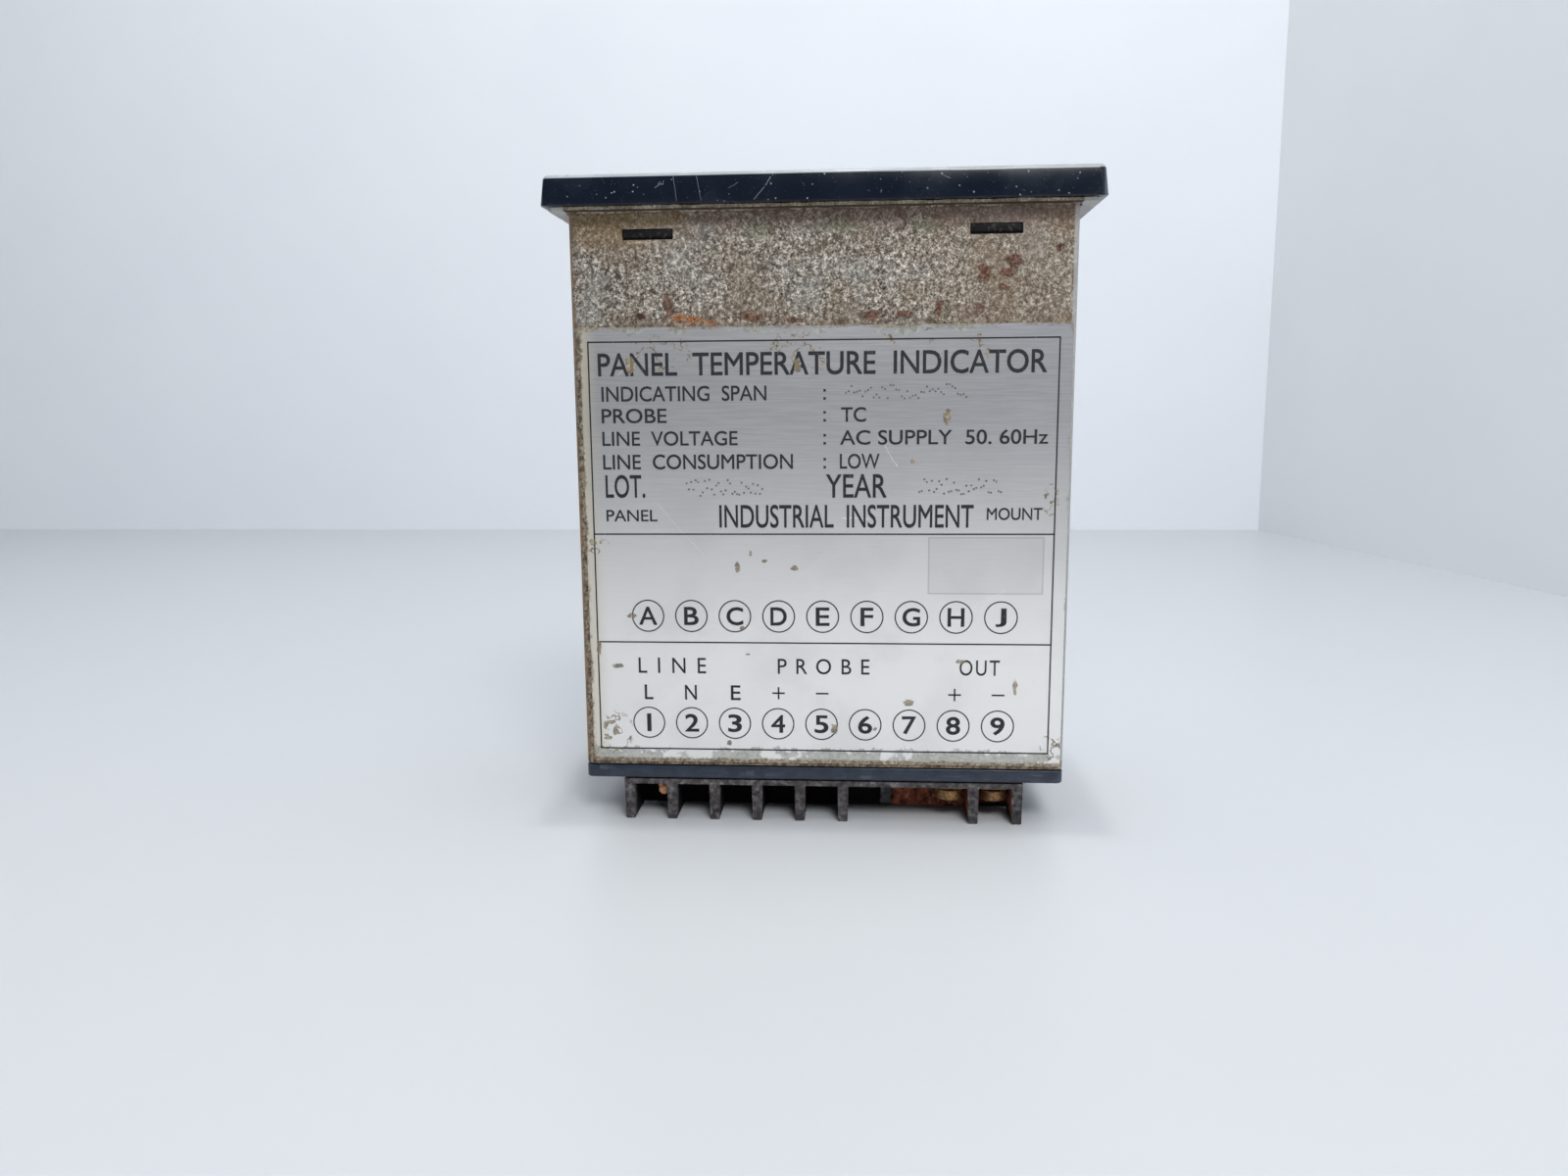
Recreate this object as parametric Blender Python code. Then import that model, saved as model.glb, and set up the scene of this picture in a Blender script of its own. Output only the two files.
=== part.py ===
"""Panel-mount digital thermometer with a 96 x 48 mm front, stood on the barriers of its rear terminals.

Frame: the origin is at the middle of the footprint, on the surface that the barrier tips touch.
+Z runs from the rear terminals to the front bezel, +X along the long side of the front, and the
rating plate faces -Y. All sizes below are in millimetres, and the finished meshes are in metres.
"""

import math

import bmesh
import bpy
from mathutils import Matrix, Vector

MM = 0.001
TURN = 2.0 * math.pi
GAP = 0.3
THIN_GAP = 0.1

# Front bezel: the outside of its back edge, the draft of its sides, and the window in it.
BEZEL_WIDTH = 96.0
BEZEL_DEPTH = 48.0
BEZEL_THICKNESS = 5.2
BEZEL_DRAFT = 0.5
BEZEL_CORNER = 1.3
BEZEL_EDGE = 0.8
WINDOW_WIDTH = 86.0
WINDOW_DEPTH = 38.0
WINDOW_THICKNESS = 1.8
WINDOW_CORNER = 1.2
APERTURE_WIDTH = 80.0
APERTURE_DEPTH = 32.0

# Steel case: a folded sleeve, open at both ends.
CASE_WIDTH = 88.2
CASE_DEPTH = 41.0
CASE_WALL = 0.8
CASE_CORNER = 1.6
SLOT_SPACING = 60.0
SLOT_WIDTH = 8.9
SLOT_HEIGHT = 1.85
SLOT_BELOW_BEZEL = 4.5
SKIRT_LENGTH = 9.5
SKIRT_WALL = 1.5
HOOK_GAP = 0.15

# Heights, from the barrier tips up to the back of the bezel.
BARRIER_HEIGHT = 6.85
BAR_TOP = 7.8
COVER_TOP = 10.5
BEZEL_BACK = 110.75
COVER_BOTTOM = BAR_TOP + GAP
CASE_BOTTOM = COVER_TOP + GAP
CASE_TOP = BEZEL_BACK - GAP
BEZEL_FRONT = BEZEL_BACK + BEZEL_THICKNESS

# Panel gasket under the bezel.
GASKET_THICKNESS = 0.4
GASKET_INSET = 1.2

# Rating plate on the case.
PLATE_LEFT = -42.5
PLATE_RIGHT = 43.4
PLATE_BOTTOM = 11.4
PLATE_TOP = 90.5
PLATE_THICKNESS = 0.25

# Rear cover.
COVER_CORNER = 2.4
COVER_EDGE = 1.1
STEP_HEIGHT = 3.6
STEP_WALL = 1.0

# Terminal rows, described for the row at -Y. The row at +Y is the same moulding turned half round.
TERMINALS = 9
PITCH = 8.0
BARRIER_THICKNESS = 2.0
BARRIER_TIP_THICKNESS = 1.7
BARRIER_TIP_CHAMFER = 0.25
BLOCK_FRONT = 20.3
BACK_WALL_FRONT = 11.6
BACK_WALL_REAR = 10.1
BACK_WALL_BOTTOM = 0.4
TONGUE_FRONT = 18.0
TONGUE_REAR = 12.0
TONGUE_TOP = 13.0
TONGUE_WIDTH = 73.0
SCREW_Y = 15.7

# Contact plates: a square tapped plate over each terminal, with a tab up to the circuit board.
CONTACT_THICKNESS = 0.8
CONTACT_BOTTOM = 7.05
CONTACT_WIDTH = 5.3
CONTACT_FRONT = 18.4
CONTACT_HOLE_RADIUS = 1.5
TAB_WIDTH = 1.8
TAB_REAR = 12.2
TAB_THICKNESS = 0.5
TAB_TOP = 18.0
WELL_RADIUS = 1.7

# Terminal screws: M3 pan heads with square clamp washers, heads down.
HEAD_BOTTOM = 3.55
HEAD_TOP = 5.75
HEAD_RADIUS = 2.8
SHANK_RADIUS = 1.2
SHANK_TOP = 11.6
RECESS_LENGTH = 3.0
RECESS_WIDTH = 0.75
RECESS_DEPTH = 1.2
WASHER_BOTTOM = HEAD_TOP + GAP
WASHER_THICKNESS = 0.6
WASHER_SIZE = 5.5
WASHER_HOLE_RADIUS = 1.5
WASHER_CORNER = 0.5
NEAR_SCREWED = (8, 9)
FAR_LETTERS = "abcdefghj"

# Circuit boards and what stands on them.
BOARD_THICKNESS = 1.6
BOARD_WIDTH = 80.0
BOARD_OUTER_FACE = 11.9
BOARD_BOTTOM = 14.2
BOARD_TOP = 102.0
DISPLAY_BOARD_BOTTOM = 102.6
DISPLAY_BOARD_DEPTH = 34.0
LED_WIDTH = 58.0
LED_DEPTH = 20.0
LED_TOP = 112.8
MASK_BOTTOM = 111.8
MASK_TOP = 113.25
CORE_CENTER = Vector((22.0, 2.5, 40.0))
CORE_SIZE = Vector((30.0, 8.0, 25.0))
CORE_LIMB = 10.0
CORE_YOKE = 5.0
WINDING_SIZE = Vector((18.4, 15.0, 14.4))
CAPACITOR_CENTER = Vector((-16.0, 0.0, 40.0))
CAPACITOR_RADIUS = 6.0
CAPACITOR_LENGTH = 16.0
CHIP_CENTER = Vector((-6.0, 0.0, 72.0))
CHIP_SIZE = Vector((50.0, 3.8, 13.6))

BOARD_INNER_FACE = BOARD_OUTER_FACE - BOARD_THICKNESS

# name: (base colour, roughness, metallic)
FINISHES = {
    "black_gloss": ((0.018, 0.020, 0.024), 0.22, 0.0),
    "smoked_acrylic": ((0.030, 0.008, 0.008), 0.08, 0.0),
    "matt_black": ((0.012, 0.012, 0.013), 0.60, 0.0),
    "aged_foam": ((0.30, 0.24, 0.17), 0.95, 0.0),
    "zinc_steel": ((0.42, 0.40, 0.34), 0.48, 0.85),
    "rating_aluminium": ((0.52, 0.54, 0.52), 0.42, 0.70),
    "cover_plastic": ((0.030, 0.040, 0.052), 0.40, 0.0),
    "terminal_plastic": ((0.060, 0.048, 0.044), 0.62, 0.0),
    "contact_brass": ((0.36, 0.27, 0.16), 0.45, 0.90),
    "screw_brass": ((0.62, 0.45, 0.22), 0.34, 0.95),
    "washer_brass": ((0.70, 0.53, 0.30), 0.38, 0.95),
    "board_green": ((0.035, 0.120, 0.060), 0.45, 0.0),
    "led_grey": ((0.10, 0.10, 0.11), 0.50, 0.0),
    "core_steel": ((0.10, 0.10, 0.11), 0.50, 0.80),
    "winding_tape": ((0.62, 0.52, 0.16), 0.50, 0.0),
    "capacitor_sleeve": ((0.030, 0.040, 0.120), 0.35, 0.0),
    "chip_black": ((0.015, 0.015, 0.016), 0.55, 0.0),
}


def clear_scene():
    """Start from an empty scene."""
    for obj in list(bpy.data.objects):
        bpy.data.objects.remove(obj, do_unlink=True)


def finish_material(name):
    """Return the named finish as a material, made once."""
    material = bpy.data.materials.get(name)
    if material:
        return material
    color, roughness, metallic = FINISHES[name]
    material = bpy.data.materials.new(name)
    material.use_nodes = True
    shader = material.node_tree.nodes["Principled BSDF"]
    shader.inputs["Base Color"].default_value = (*color, 1.0)
    shader.inputs["Roughness"].default_value = roughness
    shader.inputs["Metallic"].default_value = metallic
    material.diffuse_color = (*color, 1.0)
    return material


# Shapes, as bmeshes in millimetres.

def loft(levels):
    """Join outlines of equal length, given as (points, height) from the lowest up, into one closed shape."""
    shape = bmesh.new()
    rings = [[shape.verts.new((x, y, z)) for x, y in points] for points, z in levels]
    for lower, upper in zip(rings, rings[1:]):
        for index in range(len(lower)):
            following = (index + 1) % len(lower)
            shape.faces.new((lower[index], lower[following], upper[following], upper[index]))
    shape.faces.new(list(reversed(rings[0])))
    shape.faces.new(rings[-1])
    bmesh.ops.recalc_face_normals(shape, faces=shape.faces)
    return shape


def rounded_rectangle(width, depth, radius, steps=4):
    """Outline of a rectangle with rounded corners about the origin, counter-clockwise."""
    points = []
    corners = ((1, 1), (-1, 1), (-1, -1), (1, -1))
    for quarter, (side_x, side_y) in enumerate(corners):
        center_x = side_x * (width / 2 - radius)
        center_y = side_y * (depth / 2 - radius)
        for step in range(steps + 1):
            angle = TURN / 4 * (quarter + step / steps)
            points.append((center_x + radius * math.cos(angle), center_y + radius * math.sin(angle)))
    return points


def rounded_slab(width, depth, radius, bottom, top):
    """A slab with rounded upright corners."""
    outline = rounded_rectangle(width, depth, radius)
    return loft([(outline, bottom), (outline, top)])


def boxes(*limits):
    """Upright boxes in one shape, each given by its low and high corner."""
    shape = bmesh.new()
    for low, high in limits:
        low, high = Vector(low), Vector(high)
        place = Matrix.Translation((low + high) / 2) @ Matrix.Diagonal((*(high - low), 1.0))
        bmesh.ops.create_cube(shape, size=1.0, matrix=place)
    return shape


def centered_box(center, size):
    """One box about a centre."""
    return boxes((center - size / 2, center + size / 2))


def cylinders(radius, bottom, top, places, segments=14):
    """Upright cylinders in one shape, at each (x, y) place."""
    shape = bmesh.new()
    for x, y in places:
        bmesh.ops.create_cone(
            shape, cap_ends=True, segments=segments, radius1=radius, radius2=radius,
            depth=top - bottom, matrix=Matrix.Translation((x, y, (bottom + top) / 2)),
        )
    return shape


def turned(profile, segments):
    """Spin a profile of (radius, height) points, which starts and ends on the axis, about Z."""
    shape = bmesh.new()
    verts = [shape.verts.new((radius, 0.0, height)) for radius, height in profile]
    edges = [shape.edges.new(pair) for pair in zip(verts, verts[1:])]
    bmesh.ops.spin(
        shape, geom=verts + edges, cent=(0, 0, 0), axis=(0, 0, 1), angle=TURN, steps=segments,
    )
    bmesh.ops.remove_doubles(shape, verts=shape.verts, dist=0.001)
    bmesh.ops.recalc_face_normals(shape, faces=shape.faces)
    return shape


def prisms_along_y(outline, front, rear, places):
    """Extrude an (x, z) outline from y = front to y = rear, once at each x place."""
    shape = bmesh.new()
    for place in places:
        ends = []
        for y in (front, rear):
            ends.append([shape.verts.new((place + x, y, z)) for x, z in outline])
        for index in range(len(outline)):
            following = (index + 1) % len(outline)
            shape.faces.new((ends[0][index], ends[0][following], ends[1][following], ends[1][index]))
        shape.faces.new(list(reversed(ends[0])))
        shape.faces.new(ends[1])
    bmesh.ops.recalc_face_normals(shape, faces=shape.faces)
    return shape


# From shapes to objects.

def helper_object(name, shape):
    """Turn a shape into an object that only takes part in a Boolean."""
    mesh = bpy.data.meshes.new(name)
    shape.to_mesh(mesh)
    shape.free()
    obj = bpy.data.objects.new(name, mesh)
    obj.hide_render = True
    obj.display_type = "WIRE"
    bpy.context.scene.collection.objects.link(obj)
    return obj


def carved(name, shape, steps=()):
    """Return the mesh, in metres, of a shape after its ("UNION" or "DIFFERENCE", shape) steps."""
    target = helper_object(name, shape)
    helpers = []
    for operation, operand in steps:
        helper = helper_object(name + "_" + operation.lower(), operand)
        modifier = target.modifiers.new(operation.title(), "BOOLEAN")
        modifier.operation = operation
        modifier.solver = "EXACT"
        modifier.object = helper
        helpers.append(helper)
    depsgraph = bpy.context.evaluated_depsgraph_get()
    mesh = bpy.data.meshes.new_from_object(target.evaluated_get(depsgraph))
    mesh.name = name
    mesh.transform(Matrix.Scale(MM, 4))
    for obj in (target, *helpers):
        bpy.data.objects.remove(obj, do_unlink=True)
    return mesh


def put(name, mesh, finish, location=(0.0, 0.0, 0.0), parent=None, smooth=False):
    """Place a mesh as a named part, with its location in millimetres."""
    if smooth:
        mesh.shade_smooth()
        mesh.set_sharp_from_angle(angle=math.radians(35))
    if not mesh.materials:
        mesh.materials.append(finish_material(finish))
    obj = bpy.data.objects.new(name, mesh)
    obj.location = Vector(location) * MM
    obj.parent = parent
    bpy.context.scene.collection.objects.link(obj)
    return obj


# Front.

def make_front_bezel():
    """Tapered frame with rounded edges, and a skirt that snaps into the slots of the case."""
    draft = 2 * BEZEL_DRAFT
    edge_width = BEZEL_WIDTH - draft - 2 * BEZEL_EDGE
    edge_depth = BEZEL_DEPTH - draft - 2 * BEZEL_EDGE

    def outer(shrink, height):
        outline = rounded_rectangle(BEZEL_WIDTH - shrink, BEZEL_DEPTH - shrink, BEZEL_CORNER)
        return outline, height

    body = loft([
        outer(0.2, BEZEL_BACK),
        outer(0.0, BEZEL_BACK + 0.25),
        outer(draft, BEZEL_FRONT - BEZEL_EDGE),
        outer(draft + 0.6 * BEZEL_EDGE, BEZEL_FRONT - 0.3 * BEZEL_EDGE),
        (rounded_rectangle(edge_width, edge_depth, BEZEL_CORNER - 0.3), BEZEL_FRONT),
    ])
    skirt_width = CASE_WIDTH - 2 * (CASE_WALL + GAP)
    skirt_depth = CASE_DEPTH - 2 * (CASE_WALL + GAP)
    skirt_bottom = BEZEL_BACK - SKIRT_LENGTH
    skirt = rounded_slab(skirt_width, skirt_depth, 1.0, skirt_bottom, BEZEL_BACK + 1.0)
    hollow = rounded_slab(
        skirt_width - 2 * SKIRT_WALL, skirt_depth - 2 * SKIRT_WALL, 0.6, skirt_bottom - 1.0, BEZEL_BACK + 1.2,
    )
    aperture = rounded_slab(APERTURE_WIDTH, APERTURE_DEPTH, 0.8, BEZEL_BACK, BEZEL_FRONT + 1.0)
    seat_bottom = BEZEL_FRONT - GAP - WINDOW_THICKNESS - GAP
    seat = rounded_slab(
        WINDOW_WIDTH + 2 * GAP, WINDOW_DEPTH + 2 * GAP, WINDOW_CORNER + GAP, seat_bottom, BEZEL_FRONT + 1.0,
    )
    hook_half_width = SLOT_WIDTH / 2 - HOOK_GAP
    hook_high = BEZEL_BACK - SLOT_BELOW_BEZEL + SLOT_HEIGHT / 2 - HOOK_GAP
    hook_low = hook_high - SLOT_HEIGHT + 2 * HOOK_GAP
    hook_reach = CASE_DEPTH / 2 - 0.15
    hooks = boxes(*(
        ((x - hook_half_width, min(near, far), hook_low), (x + hook_half_width, max(near, far), hook_high))
        for x in (-SLOT_SPACING / 2, SLOT_SPACING / 2)
        for near, far in ((skirt_depth / 2 - 0.7, hook_reach), (-skirt_depth / 2 + 0.7, -hook_reach))
    ))
    mesh = carved("front_bezel", body, [
        ("UNION", skirt), ("DIFFERENCE", hollow), ("DIFFERENCE", aperture), ("DIFFERENCE", seat), ("UNION", hooks),
    ])
    put("front_bezel", mesh, "black_gloss", smooth=True)


def make_front_window():
    """Flat window pane let into the bezel."""
    top = BEZEL_FRONT - GAP
    outline = rounded_rectangle(WINDOW_WIDTH, WINDOW_DEPTH, WINDOW_CORNER)
    softened = rounded_rectangle(WINDOW_WIDTH - 0.4, WINDOW_DEPTH - 0.4, WINDOW_CORNER - 0.2)
    shape = loft([(outline, top - WINDOW_THICKNESS), (outline, top - 0.2), (softened, top)])
    put("front_window", carved("front_window", shape), "smoked_acrylic")


def make_display_mask():
    """Black frame behind the window, open over the digits."""
    shape = rounded_slab(APERTURE_WIDTH - 2 * GAP, APERTURE_DEPTH - 2 * GAP, 0.6, MASK_BOTTOM, MASK_TOP)
    opening = rounded_slab(
        LED_WIDTH + 2 * GAP, LED_DEPTH + 2 * GAP, 0.5, MASK_BOTTOM - 1.0, MASK_TOP + 1.0,
    )
    put("display_mask", carved("display_mask", shape, [("DIFFERENCE", opening)]), "matt_black")


def make_panel_gasket():
    """Flat foam ring that seals the back of the bezel to the panel."""
    top = BEZEL_BACK - GAP
    shape = rounded_slab(
        BEZEL_WIDTH - 2 * GASKET_INSET, BEZEL_DEPTH - 2 * GASKET_INSET, 1.0, top - GASKET_THICKNESS, top,
    )
    opening = rounded_slab(
        CASE_WIDTH + 2 * GAP, CASE_DEPTH + 2 * GAP, CASE_CORNER, top - GASKET_THICKNESS - 1.0, top + 1.0,
    )
    put("panel_gasket", carved("panel_gasket", shape, [("DIFFERENCE", opening)]), "aged_foam")


# Case.

def make_case_sleeve():
    """Folded steel sleeve with a pair of slots for the bezel's hooks on each wide side."""
    shape = rounded_slab(CASE_WIDTH, CASE_DEPTH, CASE_CORNER, CASE_BOTTOM, CASE_TOP)
    inside = rounded_slab(
        CASE_WIDTH - 2 * CASE_WALL, CASE_DEPTH - 2 * CASE_WALL, CASE_CORNER - CASE_WALL,
        CASE_BOTTOM - 1.0, CASE_TOP + 1.0,
    )
    slot_top = BEZEL_BACK - SLOT_BELOW_BEZEL + SLOT_HEIGHT / 2
    slots = boxes(*(
        ((x - SLOT_WIDTH / 2, -CASE_DEPTH, slot_top - SLOT_HEIGHT), (x + SLOT_WIDTH / 2, CASE_DEPTH, slot_top))
        for x in (-SLOT_SPACING / 2, SLOT_SPACING / 2)
    ))
    mesh = carved("case_sleeve", shape, [("DIFFERENCE", inside), ("DIFFERENCE", slots)])
    put("case_sleeve", mesh, "zinc_steel", smooth=True)


def make_rating_plate():
    """Thin aluminium plate stuck on the wide side, with its corners just rounded."""
    rear = -CASE_DEPTH / 2 - THIN_GAP
    width = PLATE_RIGHT - PLATE_LEFT
    height = PLATE_TOP - PLATE_BOTTOM
    shape = rounded_slab(width, height, 0.6, 0.0, PLATE_THICKNESS)
    upright = Matrix.Rotation(TURN / 4, 4, "X")
    center = Matrix.Translation(((PLATE_LEFT + PLATE_RIGHT) / 2, rear, (PLATE_BOTTOM + PLATE_TOP) / 2))
    shape.transform(center @ upright)
    put("rating_plate", carved("rating_plate", shape), "rating_aluminium")


def make_rear_cover():
    """Moulded cover with a step that enters the case, and a window for each terminal block."""
    levels = []
    edge_steps = 3
    for step in range(edge_steps + 1):
        angle = TURN / 4 * step / edge_steps
        shrink = COVER_EDGE * (1.0 - math.sin(angle))
        outline = rounded_rectangle(CASE_WIDTH - 2 * shrink, CASE_DEPTH - 2 * shrink, COVER_CORNER - shrink)
        levels.append((outline, COVER_BOTTOM + COVER_EDGE * (1.0 - math.cos(angle))))
    levels.append((outline, COVER_TOP))
    shape = loft(levels)
    step_width = CASE_WIDTH - 2 * (CASE_WALL + GAP)
    step_depth = CASE_DEPTH - 2 * (CASE_WALL + GAP)
    step_top = COVER_TOP + STEP_HEIGHT
    step = rounded_slab(step_width, step_depth, 1.0, COVER_TOP - 1.0, step_top)
    hollow = rounded_slab(
        step_width - 2 * STEP_WALL, step_depth - 2 * STEP_WALL, 0.6, COVER_TOP - 0.2, step_top + 1.0,
    )
    half_width = TONGUE_WIDTH / 2 + GAP
    windows = boxes(*(
        ((-half_width, min(inner, outer), COVER_BOTTOM - 1.0), (half_width, max(inner, outer), step_top - 1.0))
        for inner, outer in (
            (TONGUE_REAR - GAP, TONGUE_FRONT + GAP), (-TONGUE_REAR + GAP, -TONGUE_FRONT - GAP),
        )
    ))
    mesh = carved("rear_cover", shape, [("UNION", step), ("DIFFERENCE", hollow), ("DIFFERENCE", windows)])
    put("rear_cover", mesh, "cover_plastic", smooth=True)


# Terminal rows, in the frame of the row at -Y.

def terminal_x(number):
    """Middle of terminal 1, 2, ... along the row."""
    return (number - (TERMINALS + 1) / 2) * PITCH


def barrier_x(index):
    """Middle of barrier 0, 1, ... along the row."""
    return (index - TERMINALS / 2) * PITCH


def barrier_outline():
    """Barrier seen from the front: a chamfered, slightly narrowed tip, up into the bar."""
    tip = BARRIER_TIP_THICKNESS / 2
    full = BARRIER_THICKNESS / 2
    top = BARRIER_HEIGHT + 0.45
    left = [(-tip + BARRIER_TIP_CHAMFER, 0.0), (-tip, BARRIER_TIP_CHAMFER), (-full, BARRIER_HEIGHT - 0.6), (-full, top)]
    right = [(-x, z) for x, z in reversed(left)]
    return list(reversed(left + right))


def make_terminal_block(name, parent, broken):
    """Bar, barriers, back wall and tongue in one moulding, with a pocket and a well at each terminal."""
    half_length = (TERMINALS * PITCH + BARRIER_THICKNESS) / 2
    bar = boxes(((-half_length, -BLOCK_FRONT, BARRIER_HEIGHT), (half_length, -BACK_WALL_REAR, BAR_TOP)))
    wall = boxes((
        (-half_length, -BACK_WALL_FRONT, BACK_WALL_BOTTOM), (half_length, -BACK_WALL_REAR, BARRIER_HEIGHT + 0.3),
    ))
    tongue = boxes((
        (-TONGUE_WIDTH / 2, -TONGUE_FRONT, BAR_TOP - 0.4), (TONGUE_WIDTH / 2, -TONGUE_REAR, TONGUE_TOP),
    ))
    whole = [index for index in range(TERMINALS + 1) if not (broken and index in (6, 7))]
    barriers = prisms_along_y(
        barrier_outline(), -BLOCK_FRONT, -BACK_WALL_FRONT + 0.6, [barrier_x(index) for index in whole],
    )
    numbers = range(1, TERMINALS + 1)
    pocket_half = CONTACT_WIDTH / 2 + GAP
    pocket_top = CONTACT_BOTTOM + CONTACT_THICKNESS + GAP
    pockets = boxes(*(
        ((terminal_x(n) - pocket_half, -CONTACT_FRONT - GAP, BARRIER_HEIGHT - 1.0),
         (terminal_x(n) + pocket_half, -TAB_REAR + GAP, pocket_top))
        for n in numbers
    ))
    wells = cylinders(
        WELL_RADIUS, pocket_top - 0.5, TONGUE_TOP + 1.0, [(terminal_x(n), -SCREW_Y) for n in numbers],
    )
    channel_half = TAB_WIDTH / 2 + GAP
    channels = boxes(*(
        ((terminal_x(n) - channel_half, -TAB_REAR - TAB_THICKNESS - GAP, pocket_top - 0.5),
         (terminal_x(n) + channel_half, -TONGUE_REAR + 1.0, TONGUE_TOP + 1.0))
        for n in numbers
    ))
    steps = [("UNION", wall), ("UNION", tongue), ("UNION", barriers)]
    if broken:
        steps.append(("UNION", barrier_stumps()))
    steps += [("DIFFERENCE", pockets), ("DIFFERENCE", wells), ("DIFFERENCE", channels)]
    put(name, carved(name, bar, steps), "terminal_plastic", parent=parent)


def barrier_stumps():
    """What is left of the two snapped barriers: jagged stubs on the back wall, under the bar."""
    seventh, eighth = barrier_x(6), barrier_x(7)
    stump_outline = [(-1.0, 7.1), (-1.0, 4.2), (-0.5, 3.5), (0.2, 3.9), (0.9, 3.4), (1.0, 7.1)]
    sliver_outline = [(0.1, 7.1), (0.25, 5.2), (0.6, 4.5), (0.85, 5.4), (0.9, 7.1)]
    stump = prisms_along_y(stump_outline, -BACK_WALL_FRONT - 1.9, -BACK_WALL_FRONT + 0.6, [seventh])
    sliver = prisms_along_y(sliver_outline, -BACK_WALL_FRONT - 1.3, -BACK_WALL_FRONT + 0.6, [eighth])
    sliver_mesh = bpy.data.meshes.new("sliver")
    sliver.to_mesh(sliver_mesh)
    sliver.free()
    stump.from_mesh(sliver_mesh)
    return stump


def contact_mesh():
    """Square plate with a hole for the screw and a tab bent up at its rear edge."""
    plate = boxes((
        (-CONTACT_WIDTH / 2, -CONTACT_FRONT, CONTACT_BOTTOM),
        (CONTACT_WIDTH / 2, -TAB_REAR, CONTACT_BOTTOM + CONTACT_THICKNESS),
    ))
    tab = boxes((
        (-TAB_WIDTH / 2, -TAB_REAR - TAB_THICKNESS, CONTACT_BOTTOM + 0.4), (TAB_WIDTH / 2, -TAB_REAR, TAB_TOP),
    ))
    hole = cylinders(CONTACT_HOLE_RADIUS, CONTACT_BOTTOM - 1.0, CONTACT_BOTTOM + 2.0, [(0.0, -SCREW_Y)])
    return carved("contact", plate, [("UNION", tab), ("DIFFERENCE", hole)])


def screw_mesh():
    """Pan head with a cross recess, head down, about the screw's own axis."""
    profile = [
        (0.0, HEAD_BOTTOM), (0.62 * HEAD_RADIUS, HEAD_BOTTOM), (0.88 * HEAD_RADIUS, HEAD_BOTTOM + 0.3),
        (HEAD_RADIUS, HEAD_BOTTOM + 0.9), (HEAD_RADIUS, HEAD_TOP), (SHANK_RADIUS, HEAD_TOP),
        (SHANK_RADIUS, SHANK_TOP - 0.4), (SHANK_RADIUS - 0.4, SHANK_TOP), (0.0, SHANK_TOP),
    ]
    half, narrow = RECESS_LENGTH / 2, RECESS_WIDTH / 2
    top = HEAD_BOTTOM + RECESS_DEPTH
    outline = [
        (half, -narrow), (half, narrow), (narrow, narrow), (narrow, half), (-narrow, half), (-narrow, narrow),
        (-half, narrow), (-half, -narrow), (-narrow, -narrow), (-narrow, -half), (narrow, -half), (narrow, -narrow),
    ]
    inner = [(0.45 * x, 0.45 * y) for x, y in outline]
    recess = loft([(outline, HEAD_BOTTOM - 0.5), (outline, HEAD_BOTTOM + 0.1), (inner, top)])
    return carved("terminal_screw", turned(profile, 16), [("DIFFERENCE", recess)])


def washer_mesh():
    """Square clamp washer with clipped corners, about the screw's axis."""
    top = WASHER_BOTTOM + WASHER_THICKNESS
    outline = rounded_rectangle(WASHER_SIZE, WASHER_SIZE, WASHER_CORNER, steps=1)
    plate = loft([(outline, WASHER_BOTTOM), (outline, top)])
    hole = cylinders(WASHER_HOLE_RADIUS, WASHER_BOTTOM - 1.0, top + 1.0, [(0.0, 0.0)])
    return carved("clamp_washer", plate, [("DIFFERENCE", hole)])


def row_empty(name, turn):
    """Empty that carries one terminal row."""
    empty = bpy.data.objects.new(name, None)
    empty.rotation_euler = (0.0, 0.0, turn)
    bpy.context.scene.collection.objects.link(empty)
    return empty


def make_terminal_row(side, labels, screwed, turn, broken):
    """One block with a contact at each label and a screw and washer where it has one."""
    row = row_empty(side + "_terminal_row", turn)
    make_terminal_block(side + "_terminal_block", row, broken)
    contact, screw, washer = contact_mesh(), screw_mesh(), washer_mesh()
    direction = round(math.cos(turn))
    for number, label in enumerate(labels, start=1):
        x = direction * terminal_x(number)
        put(f"{side}_contact_{label}", contact, "contact_brass", (x, 0.0, 0.0), row)
        if label in screwed:
            axis = (x, -SCREW_Y, 0.0)
            put(f"{side}_screw_{label}", screw, "screw_brass", axis, row, smooth=True)
            put(f"{side}_washer_{label}", washer, "washer_brass", axis, row)


# Inside.

def make_boards():
    """Main and power boards along the case, and the display board across its front end."""
    half = BOARD_WIDTH / 2
    for name, side in (("main_board", -1), ("power_board", 1)):
        faces = sorted((side * BOARD_INNER_FACE, side * BOARD_OUTER_FACE))
        board = boxes(((-half, faces[0], BOARD_BOTTOM), (half, faces[1], BOARD_TOP)))
        notch = boxes((
            (half - 3.0, faces[0] - 1.0, BOARD_TOP - 4.0), (half + 1.0, faces[1] + 1.0, BOARD_TOP + 1.0),
        ))
        put(name, carved(name, board, [("DIFFERENCE", notch)]), "board_green")
    shape = rounded_slab(
        BOARD_WIDTH, DISPLAY_BOARD_DEPTH, 1.0, DISPLAY_BOARD_BOTTOM, DISPLAY_BOARD_BOTTOM + BOARD_THICKNESS,
    )
    put("display_board", carved("display_board", shape), "board_green")


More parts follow.
